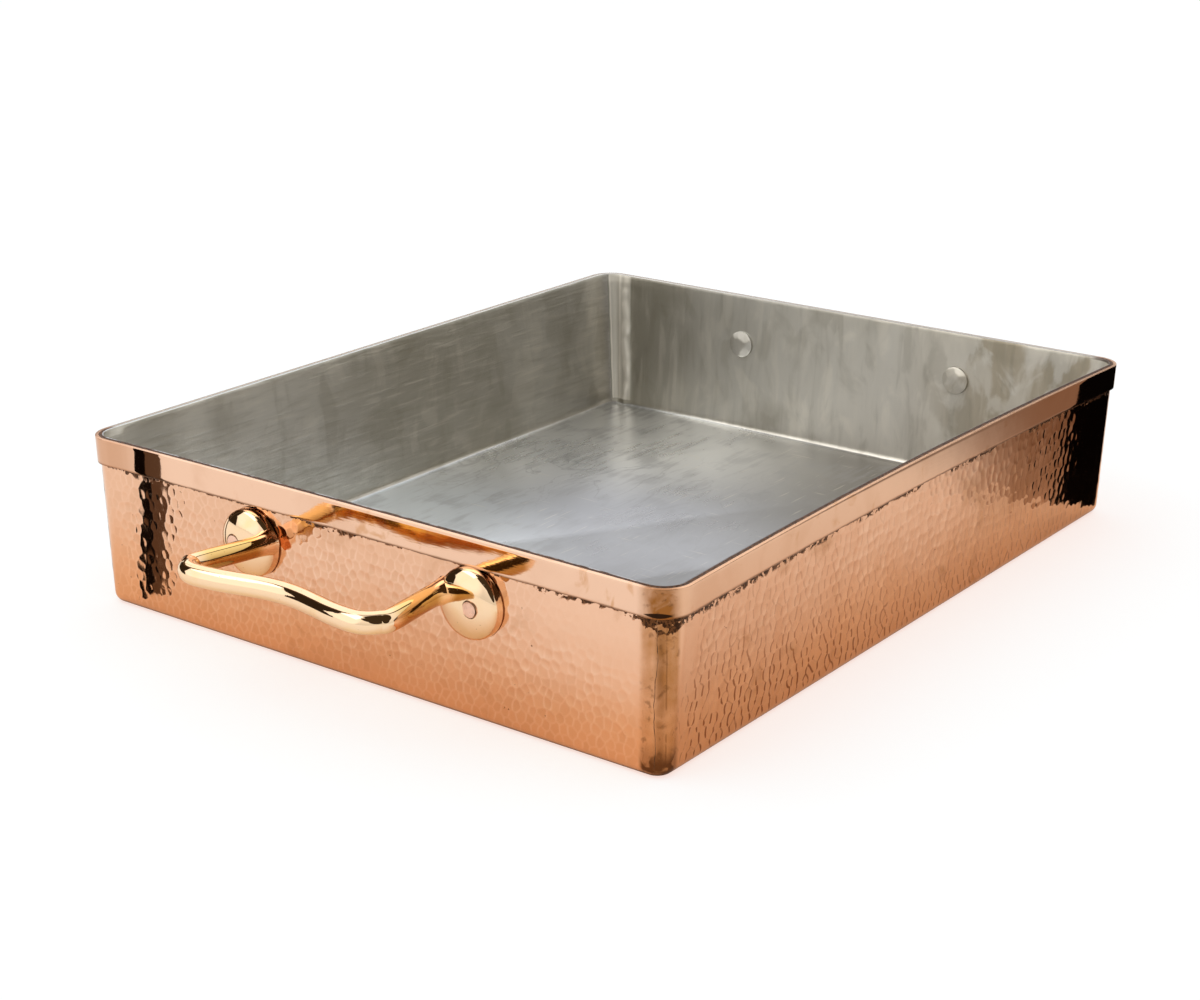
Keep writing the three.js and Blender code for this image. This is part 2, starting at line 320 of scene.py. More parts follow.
@dataclass(frozen=True)
class HammeredCopper(Finish):
    """Bright hammered sheet: pink above and a darker orange below as a painted reflection of the floor,
    brown in its specks, creases and seams, with painted highlights and shade on its hammer marks.
    """

    warm: Colour = (0.91, 0.415, 0.145)
    umber: Colour = (0.15, 0.060, 0.022)
    soot: Colour = (0.030, 0.012, 0.006)
    ridge: Colour = (0.97, 0.69, 0.52)
    honey: Colour = (0.42, 0.175, 0.048)
    rust: Colour = (0.66, 0.255, 0.095)
    ridge_shade_brown: Colour = (0.30, 0.098, 0.026)
    highlight_pink: Colour = (0.96, 0.62, 0.44)
    tinned: Colour = (0.66, 0.64, 0.60)
    band_foot: float = 0.0694

    def vary(self, recipe: Recipe) -> Surface:
        """Works out the surface.

        Args:
            recipe: the material's recipe.

        Returns:
            Its base colour, roughness, metallic and normal.
        """
        x, y, z = recipe.axes()
        cloud = recipe.noise(22.0, 4.0, 0.6)
        fine = recipe.noise(260.0, 3.0, stretch=(1.0, 1.0, 0.45))
        streak = recipe.noise(190.0, 3.0, 0.4, (1.0, 1.0, 0.12))
        blotch = recipe.noise(110.0, 4.0, 0.8)
        ridge, upright, tone = (recipe.attribute(name) for name in ("ridge", "upright", "tone"))
        long_wall = y.step(-0.148, -0.156)
        across = x - y
        corner = across.step(-0.0508, -0.0478) * across.step(-0.0275, -0.0305) * x.step(-0.15, -0.16)
        # Painted reflection: darker orange towards the bottom, and a little over all of the long wall, for
        # the shaded copper-lit floor that these parts mirror
        low = (z + 0.030 * (cloud - 0.5)).step(0.053, 0.002)
        # Paler ridges between the blows, partly rubbed bright and partly a painted highlight of the hammer
        # relief, most on upright ridges; on the long wall painted shade along upright ridges, darkest near
        # the front foot
        show = recipe.noise(40.0, 3.0).step(0.36, 0.52)
        pale = (0.45 - 0.05 * low) * (0.30 + 0.70 * show) * (1.0 - corner) * (1.0 - 0.70 * long_wall)
        low_front = (z + 0.10 * (x + 0.19) + 0.02 * (cloud - 0.5)).step(0.060, 0.018)
        broken = recipe.noise(130.0, 3.0, stretch=(1.0, 1.0, 0.5)).step(0.34, 0.47)
        rear_end = x.step(0.03, 0.11) * z.step(0.020, 0.040)
        ridge_shade = 0.34 - 0.18 * x.step(-0.10, 0.0) + 0.62 * low_front + 0.30 * rear_end
        # Painted highlight: a smooth pale pink sheen high on the front wall towards the near corner
        glow = y.step(-0.06, -0.12) * (1.0 - long_wall) * x.step(-0.15, -0.18) * z.step(0.016, 0.042)
        # Heat stain and specks
        stain = recipe.noise(34.0, 5.0, 1.2).step(0.58, 0.74)
        speck = recipe.noise(420.0, 2.0).step(0.725, 0.765) * recipe.noise(30.0, 2.0).step(0.50, 0.60)
        # Patina of the near corner: its tint, the smear and the line beside the seam, and spots; the corner
        # also darkens towards its foot
        shade = 0.44 + 0.26 * across.step(-0.0430, -0.0400) + 0.4 * (streak - 0.5) + 0.8 * (cloud - 0.5)
        smear = ((across + 0.0395).size() + 0.004 * (blotch - 0.5)).step(0.0046, 0.0006)
        second = (across + 0.0362 + 0.0016 * (cloud - 0.5)).size().step(0.0007, 0.0002)
        spots = recipe.noise(260.0, 4.0).step(0.56, 0.70)
        darker_foot = (z + 0.020 * (blotch - 0.5)).step(0.017, 0.007)
        # The crevice under the band, the dark line round the bottom edge as painted shade, and the far rim,
        # partly tin and partly a painted reflection
        crevice = self._crevice(recipe, long_wall, corner)
        flecks = recipe.noise(900.0, 2.0).step(0.44, 0.58)
        # Painted shade: a dark line round the bottom edge, where it turns under towards the floor
        edge = z.step(0.0024, 0.0006)
        # Tin's colour only on the rim top of the far walls, which mirror the bright room: partly tin,
        # partly a painted reflection
        far_rim = x.step(-0.190, -0.184) * y.step(-0.155, -0.149) * z.step(0.0813, 0.0817)
        colour = recipe.layers(
            self.base,
            (low * 0.46 + long_wall * 0.12, self.warm),
            (long_wall * (0.06 + 0.6 * (streak - 0.42)), self.rust),
            ((1.0 - ridge) * (0.04 + 0.09 * tone.step(-0.6, 1.0)), self.honey),
            # partly a painted highlight on the ridges
            ((0.28 * ridge + 0.72 * upright) * pale, self.ridge),
            # painted shade along the long wall's upright ridges
            (upright.step(0.08, 0.48) * long_wall * broken * ridge_shade, self.ridge_shade_brown),
            (long_wall * rear_end * (0.46 + 0.7 * (streak - 0.42)), self.honey),
            # painted highlight on the upper front wall
            (glow * (1.0 - corner) * 0.50, self.highlight_pink),
            (stain * (0.20 + 0.25 * long_wall), self.honey),
            (speck * 0.85, self.umber),
            (corner * (shade + 0.8 * (blotch - 0.5)), self.honey),
            (corner * smear * (0.26 + 0.8 * (blotch - 0.4)), self.umber),
            (corner * second * blotch.step(0.44, 0.56) * 0.45, self.umber),
            (corner * spots * 0.50, self.umber),
            (corner * darker_foot * (0.42 + 0.6 * blotch.step(0.46, 0.54)), self.umber),
            (crevice * 0.95, recipe.mix(flecks, self.soot, self.umber)),
            (edge * 0.80, self.umber),
            (far_rim * 0.85, self.tinned),
        )
        # Rougher in the crevice, on the painted shade of the bottom edge and on the far rim
        dirt_and_shade = (crevice * 0.9).larger(edge * 0.6).larger(far_rim * 0.5)
        haze = 0.06 * (cloud - 0.5) + 0.04 * (streak - 0.5)
        normal = recipe.bump(fine + 0.6 * streak, 0.000030)
        normal = recipe.bump(crevice * recipe.noise(1400.0, 2.0), 0.0004, normal)
        return colour, self.roughness + haze + 0.40 * dirt_and_shade + 0.12 * corner, 1.0, normal

    def _crevice(self, recipe: Recipe, long_wall: Value, corner: Value) -> Value:
        """The broken dark line under the band.

        Args:
            recipe: the material's recipe.
            long_wall: 1 on the bowed long wall, where the line is thicker.
            corner: 1 on the near corner, where it is thickest.

        Returns:
            1 in the line, 0 outside.
        """
        x, y, z = recipe.axes()
        lumps = recipe.noise(330.0, 4.0, 0.6)
        runs = recipe.noise(26.0, 3.0) + 0.09 * long_wall.larger(y.step(-0.02, -0.10))
        runs = runs + 0.15 * long_wall * x.step(-0.06, -0.13)
        depth = 0.0004 + 0.0009 * lumps.step(0.42, 0.60) * runs.step(0.36, 0.50)
        depth = depth + 0.0018 * lumps.step(0.40, 0.58) * runs.step(0.54, 0.62)
        depth = depth + corner * (0.0014 + 0.0030 * lumps.step(0.38, 0.60))
        depth = depth + 0.0011 * long_wall * x.step(-0.115, -0.150) * lumps.step(0.34, 0.50)
        ragged = self.band_foot - z + 0.0006 * (recipe.noise(1100.0, 3.0) - 0.5)
        return 1.0 - (ragged / depth).step(0.70, 1.15)


@dataclass(frozen=True)
class PolishedCopper(Finish):
    """Bright polished strip, brown along its lower line, with a few amber stains."""

    amber: Colour = (0.60, 0.27, 0.09)
    rose: Colour = (0.52, 0.24, 0.115)
    brown: Colour = (0.31, 0.115, 0.027)
    umber: Colour = (0.12, 0.050, 0.020)
    soot: Colour = (0.020, 0.009, 0.005)
    tinned: Colour = (0.66, 0.64, 0.60)
    foot: float = 0.0694

    def vary(self, recipe: Recipe) -> Surface:
        """Works out the surface.

        Args:
            recipe: the material's recipe.

        Returns:
            Its base colour, roughness, metallic and normal.
        """
        x, y, z = recipe.axes()
        cloud = recipe.noise(26.0, 4.0, 0.8)
        wipe = recipe.noise(120.0, 3.0, stretch=(1.0, 1.0, 9.0))
        stain = recipe.noise(48.0, 5.0, 1.5).step(0.60, 0.72)
        mottle = recipe.noise(120.0, 4.0, 0.8)
        blot = recipe.noise(300.0, 4.0).step(0.56, 0.66)
        lower = (z + 0.0008 * (wipe - 0.5)).step(self.foot + 0.0012, self.foot + 0.0002)
        across = x - y
        near = x.step(-0.15, -0.16)
        corner = (across + 0.0400).size().step(0.0130, 0.0030) * near
        left_end = y.step(0.105, 0.150) * x.step(-0.15, -0.19)
        # Lens-shaped burn low on the near corner
        aside = (across + 0.0412) / 0.0080
        above = ((z - 0.0709) / 0.0011).size()
        lens = (aside * aside + above).step(1.12, 0.80) * near
        top = recipe.facing()[2].step(0.88, 0.97)
        # The top of the far sides is tin-coloured: partly tin, partly a painted reflection of the bright
        # room
        far_top = top * x.step(-0.190, -0.184) * y.step(-0.155, -0.149)
        colour = recipe.layers(
            self.base,
            (stain * 0.55, self.amber),
            (cloud.step(0.50, 0.66) * 0.16, self.rose),
            # Painted reflection: amber along the long side, which mirrors the darker floor beside it
            (y.step(-0.150, -0.160) * 0.36, self.amber),
            (lower * 0.75, self.umber),
            (left_end * 0.55, self.rose),
            (corner * (1.02 + 2.0 * (mottle - 0.5)), self.brown),
            (corner * blot * 0.60, self.umber),
            (lens * 0.97, self.soot),
            (far_top * 0.60, self.tinned),
        )
        roughness = self.roughness + 0.05 * (cloud - 0.4) + 0.20 * top + 0.20 * lower
        normal = recipe.bump(wipe, 0.000012)
        normal = recipe.bump(recipe.noise(60.0, 2.0), 0.00013, normal)
        return colour, roughness, 1.0, normal


@dataclass(frozen=True)
class WipedTin(Finish):
    """Hot-wiped tin: streaked grey with cloudy patches, paler ridges and fine scratches, with painted
    light, shade and reflections on its walls and floor.
    """

    pale: Colour = (0.92, 0.86, 0.745)
    dark: Colour = (0.27, 0.24, 0.17)
    umber: Colour = (0.10, 0.060, 0.045)
    floor: Colour = (0.40, 0.415, 0.455)
    warm: Colour = (0.56, 0.47, 0.33)
    floor_left: Colour = (0.87, 0.94, 1.0)
    floor_near: Colour = (0.76, 0.77, 0.82)
    floor_rear: Colour = (0.98, 1.0, 1.0)
    floor_right: Colour = (0.18, 0.171, 0.158)
    floor_dark: Colour = (0.31, 0.315, 0.34)

    def vary(self, recipe: Recipe) -> Surface:
        """Works out the surface.

        Args:
            recipe: the material's recipe.

        Returns:
            Its base colour, roughness, metallic and normal.
        """
        x, y, z = recipe.axes()
        east, _, up = recipe.facing()
        end_wall = east.size().step(0.60, 0.85)
        side_wall = 1.0 - end_wall
        flat = up.step(0.60, 0.90)
        upright = recipe.noise(150.0, 6.0, 0.7, (1.0, 1.0, 0.16))
        lying = recipe.noise(420.0, 5.0, 0.4, (0.10, 1.0, 1.0), (0.0, 0.22, 0.0))
        crossed = recipe.noise(260.0, 5.0, 0.4, (0.14, 1.0, 1.0), (0.0, 0.0, 0.75))
        along = recipe.noise(330.0, 5.0, 0.3, (0.08, 1.0, 1.0), (0.0, 0.0, -0.15))
        wall_wipe = lying + end_wall * (upright - lying)
        wipe = wall_wipe + flat * (0.5 * crossed + 0.5 * along - wall_wipe)
        cloud = recipe.noise(11.0, 4.0, 0.6)
        patch = recipe.noise(46.0, 6.0, 0.5, (1.0, 1.0, 0.55))
        # Painted light: the rear wall brightens and warms towards the bowed side, with painted glints on
        # its ripples; painted shade: both far walls darken towards their corner
        bright = end_wall * y.step(0.11, -0.04) * x.step(-0.1, 0.1)
        near_corner = (x - 0.200).size().larger((y - 0.160).size() * 0.8).step(0.075, 0.004)
        ripple_glints = recipe.noise(38.0, 5.0, 0.5, (1.0, 1.0, 0.6)).step(0.48, 0.57)
        ripple_glints = ripple_glints * bright * y.step(-0.03, -0.09)
        # Painted shade in the middle of the left wall and painted light towards its front end
        middle = side_wall * (x - 0.03).size().step(0.13, 0.01) * y.step(0.0, 0.1)
        far_end = side_wall * x.step(0.02, -0.19) * y.step(0.0, 0.1)
        # The floor reflects other parts of the room in each of its corners
        left, rear = (y - x).step(0.02, 0.18), (x + 0.6 * y).step(0.06, 0.20)
        right = (x - 1.2 * y + 0.03 * (cloud - 0.5)).step(0.03, 0.23) * 0.96
        ground = recipe.layers(
            self.floor,
            (left, self.floor_left),
            ((x + y).step(-0.11, -0.27), self.floor_near),
            (rear, self.floor_rear),
            (right, self.floor_right),
            ((0.5 * wipe + 0.5 * patch).step(0.52, 0.38) * 0.34, self.floor_dark),
            (cloud.step(0.48, 0.34) * 0.22, self.floor_dark),
        )
        veins = (recipe.noise(26.0, 4.0, 2.2, (0.5, 1.0, 1.0), (0.0, 0.0, 0.5)) - 0.5).size()
        veins = veins.step(0.020, 0.002) * x.step(-0.02, 0.06) * x.step(0.16, 0.08)
        scratch = recipe.noise(800.0, 2.0, 0.0, (0.05, 1.0, 1.0), (0.0, 0.0, 0.9)).step(0.66, 0.74)
        crossing = recipe.noise(800.0, 2.0, 0.0, (1.0, 0.05, 1.0), (0.0, 0.0, 0.35)).step(0.68, 0.76)
        # The brazed strips: paler tin and bead, with painted highlights on their edge and ridge lines
        bead = recipe.attribute("bead").step(0.0, 1.0)
        # The lip of the two near walls is darkened: partly oxidised, partly a painted dark reflection
        long_wall = y.step(-0.147, -0.154)
        oxide_and_dark_reflection = 0.30 + 0.65 * recipe.noise(95.0, 3.0).step(0.44, 0.56).larger(long_wall * 0.8)
        near_lip = z.step(0.0806, 0.0814) * x.step(-0.185, -0.195).larger(long_wall)
        colour = recipe.layers(
            self.base,
            (bright * 0.55, self.pale),
            (near_corner * (0.04 + 0.62 * end_wall), self.dark),
            (bright * y.step(-0.03, -0.10) * (0.80 - 0.70 * ripple_glints), self.warm),
            (middle * 0.50, self.dark),
            (far_end * 0.50, self.pale),
            (wipe.step(0.50, 0.74) * 0.26, self.pale),
            (wipe.step(0.50, 0.28) * 0.22, self.dark),
            (patch.step(0.53, 0.64) * (0.16 + 0.44 * bright), self.pale),
            (ripple_glints * 0.85, self.pale),
            (patch.step(0.47, 0.36) * 0.24, self.dark),
            (cloud.step(0.50, 0.36) * 0.30, self.dark),
            (flat, ground),
            (flat * veins * 0.35, self.floor_dark),
            (flat * scratch.larger(crossing) * 0.28, self.pale),
            (bead * 0.90, self.pale),
            (near_lip * oxide_and_dark_reflection, self.umber),
        )
        roughness = self.roughness - 0.02 * flat + 0.12 * (cloud - 0.5) + 0.08 * (wipe - 0.5)
        sheen = (0.24 * left).larger(0.13 * rear)
        metallic = 1.0 - (1.0 - flat) * (0.22 + 0.16 * bright) - flat * sheen - 0.35 * bead
        rough = (1.0 - 0.75 * flat) * (0.35 * wipe + 0.8 * patch * (0.4 + bright) + 0.22 * ripple_glints)
        normal = recipe.bump(rough, 0.00055)
        normal = recipe.bump(recipe.noise(700.0, 3.0), 0.000020, normal)
        return colour, roughness, metallic, normal


@dataclass(frozen=True)
class BrazeFiller(Finish):
    """Dark brown brazing filler, rough and blotched."""

    soot: Colour = (0.09, 0.045, 0.025)

    def vary(self, recipe: Recipe) -> Surface:
        """Works out the surface.

        Args:
            recipe: the material's recipe.

        Returns:
            Its base colour, roughness, metallic and normal.
        """
        blot = recipe.noise(240.0, 4.0, 0.5)
        colour = recipe.mix(blot.step(0.40, 0.62), self.base, self.soot)
        roughness = self.roughness + 0.3 * (blot - 0.5)
        return colour, roughness, 0.8, recipe.bump(blot, 0.0002)


@dataclass(frozen=True)
class CastBrass(Finish):
    """Mirror-polished casting with faint pits, painted warm and amber reflections of the copper below and
    beside it, and painted shade where its feet meet the wall.
    """

    warm: Colour = (0.86, 0.58, 0.19)
    amber: Colour = (0.44, 0.21, 0.045)
    gold: Colour = (0.66, 0.38, 0.06)
    pit: Colour = (0.20, 0.11, 0.04)

    def vary(self, recipe: Recipe) -> Surface:
        """Works out the surface.

        Args:
            recipe: the material's recipe.

        Returns:
            Its base colour, roughness, metallic and normal.
        """
        x, _, _ = recipe.axes()
        east, _, up = recipe.facing()
        cloud = recipe.noise(60.0, 4.0, 0.8)
        # Painted reflections: amber on the legs and on the side towards the wall, which mirror the copper
        # wall
        inner = (east * x).step(-0.02, -0.15) * x.size().step(0.212, 0.222)
        legs = x.size().step(0.209, 0.216) * x.size().step(0.245, 0.236)
        pit = recipe.noise(900.0, 1.0).step(0.775, 0.80)
        colour = recipe.layers(
            self.base,
            (cloud.step(0.50, 0.75) * 0.30, self.warm),
            # painted reflection of the copper-lit floor on the undersides
            (up.step(-0.10, -0.80) * 0.45, self.warm),
            (legs * 0.85, self.warm),
            (legs * up.step(0.95, 0.1) * 0.85, self.amber),
            (inner * 0.95, recipe.mix(cloud.step(0.46, 0.56), self.gold, self.amber)),
            # Painted shade where the feet meet the wall
            (x.size().step(0.2013, 0.2007) * 0.9, self.pit),
            (pit * 0.9, self.pit),
        )
        roughness = self.roughness + 0.05 * (cloud - 0.4) + 0.3 * pit
        return colour, roughness, 1.0, recipe.bump(cloud - 1.5 * pit, 0.00010)


@dataclass(frozen=True)
class PeenedCopper(Finish):
    """Rivet copper, matt where it was peened and brown in its creases."""

    umber: Colour = (0.22, 0.09, 0.04)

    def vary(self, recipe: Recipe) -> Surface:
        """Works out the surface.

        Args:
            recipe: the material's recipe.

        Returns:
            Its base colour, roughness, metallic and normal.
        """
        cloud = recipe.noise(350.0, 4.0, 0.6)
        colour = recipe.mix(cloud.step(0.55, 0.75) * 0.45, self.base, self.umber)
        roughness = self.roughness + 0.2 * (cloud - 0.4)
        return colour, roughness, 1.0, recipe.bump(cloud, 0.00006)


# Mesh helpers


def smoothstep(value: float, low: float, high: float) -> float:
    """A soft step from 0 at low to 1 at high."""
    share = min(max((value - low) / (high - low), 0.0), 1.0)
    return share * share * (3.0 - 2.0 * share)


def wobble(seed: float, u: float, v: float, reach: float) -> float:
    """Smooth seeded unevenness about 0, with lumps of about the reach."""
    return noise.noise(Vector((u / reach + seed, v / reach - seed, 1.7 * seed)))


def crease(bm: bmesh.types.BMesh, angle: float) -> None:
    """Smooths the faces, all but their sharp edges.

    Args:
        bm: the mesh.
        angle: edges beyond this angle in degrees stay sharp.
    """
    limit = math.radians(angle)
    for face in bm.faces:
        face.smooth = True
    for edge in bm.edges:
        edge.smooth = edge.calc_face_angle(0.0) < limit


def spin(
    bm: bmesh.types.BMesh, profile: Sequence[tuple[float, float]], steps: int
) -> list[bmesh.types.BMVert]:
    """Spins a profile round X.

    Args:
        bm: the mesh to add it to.
        profile: each point's radius and place along X.
        steps: steps of the whole turn.

    Returns:
        The new points.
    """
    old = set(bm.verts)
    line = [bm.verts.new((x, radius, 0)) for radius, x in profile]
    edges = [bm.edges.new(pair) for pair in zip(line, line[1:])]
    bmesh.ops.spin(
        bm, geom=line + edges, cent=(0, 0, 0), axis=(1, 0, 0), angle=2 * math.pi, steps=steps,
        use_merge=True)
    fresh = [vert for vert in bm.verts if vert not in old]
    bmesh.ops.remove_doubles(bm, verts=fresh, dist=0.001)
    return [vert for vert in bm.verts if vert not in old]


def add_object(name: str, data: bpy.types.ID) -> bpy.types.Object:
    """Links a new object of a mesh, lamp or camera into the scene.

    Args:
        name: its name.
        data: the mesh, lamp or camera.

    Returns:
        The object.
    """
    made = bpy.data.objects.new(name, data)
    bpy.context.scene.collection.objects.link(made)
    return made


def add_mesh(
    bm: bmesh.types.BMesh, name: str, materials: Sequence[bpy.types.Material]
) -> bpy.types.Object:
    """Makes an object of a mesh.

    Args:
        bm: the mesh; it is freed.
        name: the object's name.
        materials: its materials in the order of its faces' indices.

    Returns:
        The object.
    """
    mesh = bpy.data.meshes.new(name)
    bm.to_mesh(mesh)
    bm.free()
    for material in materials:
        mesh.materials.append(material)
    return add_object(name, mesh)


def finish_piece(
    bm: bmesh.types.BMesh,
    name: str,
    materials: Sequence[bpy.types.Material],
    nodes: Sequence[str],
    sharp: float = 35.0,
) -> bpy.types.Object:
    """Makes an object of a mesh in millimetres and sets it on the frame.

    Args:
        bm: the mesh; it is freed.
        name: the piece's name.
        materials: its materials in the order of its faces' indices.
        nodes: the solids that it stands for.
        sharp: edges beyond this angle in degrees stay sharp.

    Returns:
        The object.
    """
    bmesh.ops.scale(bm, vec=(MM, MM, MM), verts=bm.verts)
    bmesh.ops.recalc_face_normals(bm, faces=bm.faces)
    crease(bm, sharp)
    piece = add_mesh(bm, name, materials)
    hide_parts(*nodes)
    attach(piece, "root")
    LOG.info("%s: %d faces, stands for %s", name, len(piece.data.polygons), ", ".join(nodes))
    return piece


class RingStack:
    """A skin laid through closed rings of points."""

    def __init__(self, painted: Sequence[str] = ()) -> None:
        """Starts without a ring.

        Args:
            painted: names of the numbers kept on each point.
        """
        self.painted = painted
        self.rings: list[Sequence[Vector]] = []
        self.paint: list[Sequence[Sequence[float]] | None] = []

    def grow(self, ring: Iterable[Vector], paint: Sequence[Sequence[float]] | None = None) -> None:
        """Adds a ring.

        Args:
            ring: its points.
            paint: each point's painted numbers; none leaves them 0.
        """
        self.rings.append(list(ring))
        self.paint.append(paint)

    def build(self, hoop: bool = False) -> bmesh.types.BMesh:
        """Rolls a grid up into the skin.

        Args:
            hoop: the last ring meets the first; otherwise both are closed with a flat face.

        Returns:
            The mesh.
        """
        if hoop:
            self.grow(self.rings[0])
        count = len(self.rings[0])
        bm = bmesh.new()
        for name in self.painted:
            bm.verts.layers.float.new(name)
        bmesh.ops.create_grid(bm, x_segments=count, y_segments=len(self.rings) - 1, size=1.0)
        layers = [bm.verts.layers.float[name] for name in self.painted]
        verts = list(bm.verts)
        welds = {}
        for row, (ring, paint) in enumerate(zip(self.rings, self.paint)):
            first = row * (count + 1)
            for vert, point in zip(verts[first:first + count], ring):
                vert.co = point
            if paint:
                for vert, numbers in zip(verts[first:first + count], paint):
                    for layer, number in zip(layers, numbers):
                        vert[layer] = number
            welds[verts[first + count]] = verts[first]
        if hoop:
            last = (len(self.rings) - 1) * (count + 1)
            welds.update({verts[last + i]: verts[i] for i in range(count)})
            welds[verts[last + count]] = verts[0]
        bmesh.ops.weld_verts(bm, targetmap=welds)
        if not hoop:
            bmesh.ops.holes_fill(bm, edges=[edge for edge in bm.edges if edge.is_boundary], sides=0)
        return bm


# Pan outline


@dataclass(frozen=True)
class PanSizes:
    """The pan's own sizes, over the rim band."""

    length: float = 406.0
    width: float = 335.0
    height: float = 82.0
    sheet: float = 2.0
    tin: float = 0.4
    end_lean: float = 1.1
    side_lean: float = 4.5
    rim_corner: float = 12.0
    base_corner: float = 8.0
    bottom_edge: float = 4.5
    near_bow: float = 5.0
    front_bow: float = 1.2
    band: float = 1.3
    band_height: float = 12.6
    gap: float = 0.3

    @property
    def band_reach(self) -> float:
        """How far the band's face stands out of the sheet."""
        return self.band + self.gap

    @property
    def band_foot(self) -> float:
        """Height of the band's lower edge."""
        return self.height - self.band_height


@dataclass(frozen=True)
class Station:
    """A place along the pan's outline: a corner's arc, or the wall that follows it."""

    quarter: int
    on_arc: bool
    share: float


class Outline:
    """The pan's rounded outline at any height, walked anticlockwise from the rear left corner."""

    SIGNS = ((1, 1), (-1, 1), (-1, -1), (1, -1))

    def __init__(self, sizes: PanSizes, arc_steps: int, wall_steps: Sequence[int]) -> None:
        """Lays out the stations.

        Args:
            sizes: the pan's sizes.
            arc_steps: steps round each corner.
            wall_steps: steps along the left, front, right and rear walls.
        """
        self.sizes = sizes
        self.stations: list[Station] = []
        for quarter, steps in enumerate(wall_steps):
            self.stations += [Station(quarter, True, i / arc_steps) for i in range(arc_steps)]
            self.stations += [Station(quarter, False, i / steps) for i in range(steps)]
        self.walked = self._walk()

    def _walk(self) -> list[float]:
        """Walks the outline at half height, and notes its whole length.

        Returns:
            The distance at each station.
        """
        middle = self.sizes.height / 2
        walked, last = [0.0], self.at(0, middle, 0.0)[0]
        for index in range(1, len(self.stations)):
            here = self.at(index, middle, 0.0)[0]
            walked.append(walked[-1] + (here - last).length)
            last = here
        self.around = walked[-1] + (self.at(0, middle, 0.0)[0] - last).length
        return walked

    def at(self, index: int, z: float, inset: float) -> tuple[Vector, Vector]:
        """A point of the outline.

        Args:
            index: the station.
            z: the height.
            inset: how far in from the sheet's outer face.

        Returns:
            The point, and the level way out of the wall there.
        """
        sizes = self.sizes
        station = self.stations[index]
        drop = 1 - z / sizes.height
        half_x = sizes.length / 2 - sizes.band_reach - sizes.end_lean * drop - inset
        half_y = sizes.width / 2 - sizes.band_reach - sizes.side_lean * drop - inset
        radius = sizes.rim_corner + (sizes.base_corner - sizes.rim_corner) * drop - inset
        radius = max(radius, 0.3)
        centre_x, centre_y = half_x - radius, half_y - radius

        def on_arc(quarter: int, share: float) -> tuple[Vector, Vector]:
            """A point of a corner's arc.

            Args:
                quarter: which corner.
                share: how far round it, from 0 to 1.

            Returns:
                The point, and the level way out there.
            """
            angle = (quarter + share) * math.pi / 2
            way = Vector((math.cos(angle), math.sin(angle), 0))
            sx, sy = self.SIGNS[quarter % 4]
            return Vector((sx * centre_x, sy * centre_y, z)) + radius * way, way

        if station.on_arc:
            point, way = on_arc(station.quarter, station.share)
        else:
            start, way = on_arc(station.quarter, 1.0)
            stop, _ = on_arc(station.quarter + 1, 0.0)
            point = start.lerp(stop, station.share)
        if point.y < 0:
            along = min(abs(point.x) / centre_x, 1.0)
            point.y += sizes.near_bow * (z / sizes.height) * (1 - along * along)
        if point.x < 0:
            along = min(abs(point.y) / centre_y, 1.0)
            point.x += sizes.front_bow * (z / sizes.height) * (1 - along * along)
        return point, way


# Hammered sheet


@dataclass
class HammerMarks:
    """Overlapping shallow dishes, laid over the walls in rough rows."""

    around: float
    height: float
    pitch: float = 4.5
    rise: float = 4.6
    stretch: float = 1.10
    curve: float = 0.0185
    ridge_width: float = 0.70
    scatter: float = 0.27
    seed: int = 20
    centres: list[Vector] = field(default_factory=list)
    dishes: list[tuple[float, float, Vector, float]] = field(default_factory=list)

    def __post_init__(self) -> None:
        """Strikes the blows: sharp deep ones among broad shallow ones, which gives them round edges."""
        columns = round(self.around / self.pitch)
        rows = math.ceil(self.height / self.rise) + 2
        pitch = self.around / columns
        for row in range(-1, rows):
            for column in range(-2, columns + 2):
                draw = random.Random(self.seed + 977 * row + 13 * (column % columns))
                u = (column + 0.5 * (row % 2) + draw.uniform(-self.scatter, self.scatter)) * pitch
                v = (row + draw.uniform(-self.scatter, self.scatter)) * self.rise
                sharp = 2.0 ** (draw.choice((-0.80, 0.60)) + draw.uniform(-0.25, 0.25))
                lift = draw.uniform(-0.010, 0.010) - 0.078 * (sharp - 1.0)
                tilt = Vector((draw.uniform(-1, 1), draw.uniform(-1, 1), 0)) * 0.014
                self.centres.append(Vector((u, v / self.stretch, 0)))
                self.dishes.append((self.curve * sharp, lift, tilt, draw.uniform(-1, 1)))
        self.tree = KDTree(len(self.centres))
        for index, centre in enumerate(self.centres):
            self.tree.insert(centre, index)
        self.tree.balance()

    def strike(self, u: float, z: float) -> tuple[float, float, float, float]:
        """The struck surface at a place.

        Args:
            u: distance along the outline.
            z: height.

        Returns:
            The height of the surface, how near a ridge is from 0 to 1, how upright that ridge runs
            from 0 to 1, and the dish's own tone.
        """
        wave = 0.10 * self.pitch
        u += wave * wobble(1.9, u, z, 0.8 * self.pitch)
        z += wave * wobble(5.2, u, z, 0.8 * self.pitch)
        here = Vector((u, z / self.stretch, 0))
        near = []
        for centre, index, reach in self.tree.find_n(here, 6):
            curve, lift, tilt, _ = self.dishes[index]
            offset = here - centre
            height = curve * reach * reach + lift + tilt.dot(offset)
            near.append((height, index, 2 * curve * offset + tilt))
        near.sort(key=lambda dish: dish[0])
        (height, first, slope), (next_height, second, next_slope) = near[:2]
        to_ridge = (next_height - height) / max((next_slope - slope).length, 0.02)
        ridge = 1.0 - smoothstep(to_ridge, 0.0, self.ridge_width)
        apart = self.centres[first] - self.centres[second]
        return height, ridge, apart.x * apart.x / apart.length_squared, self.dishes[first][3]


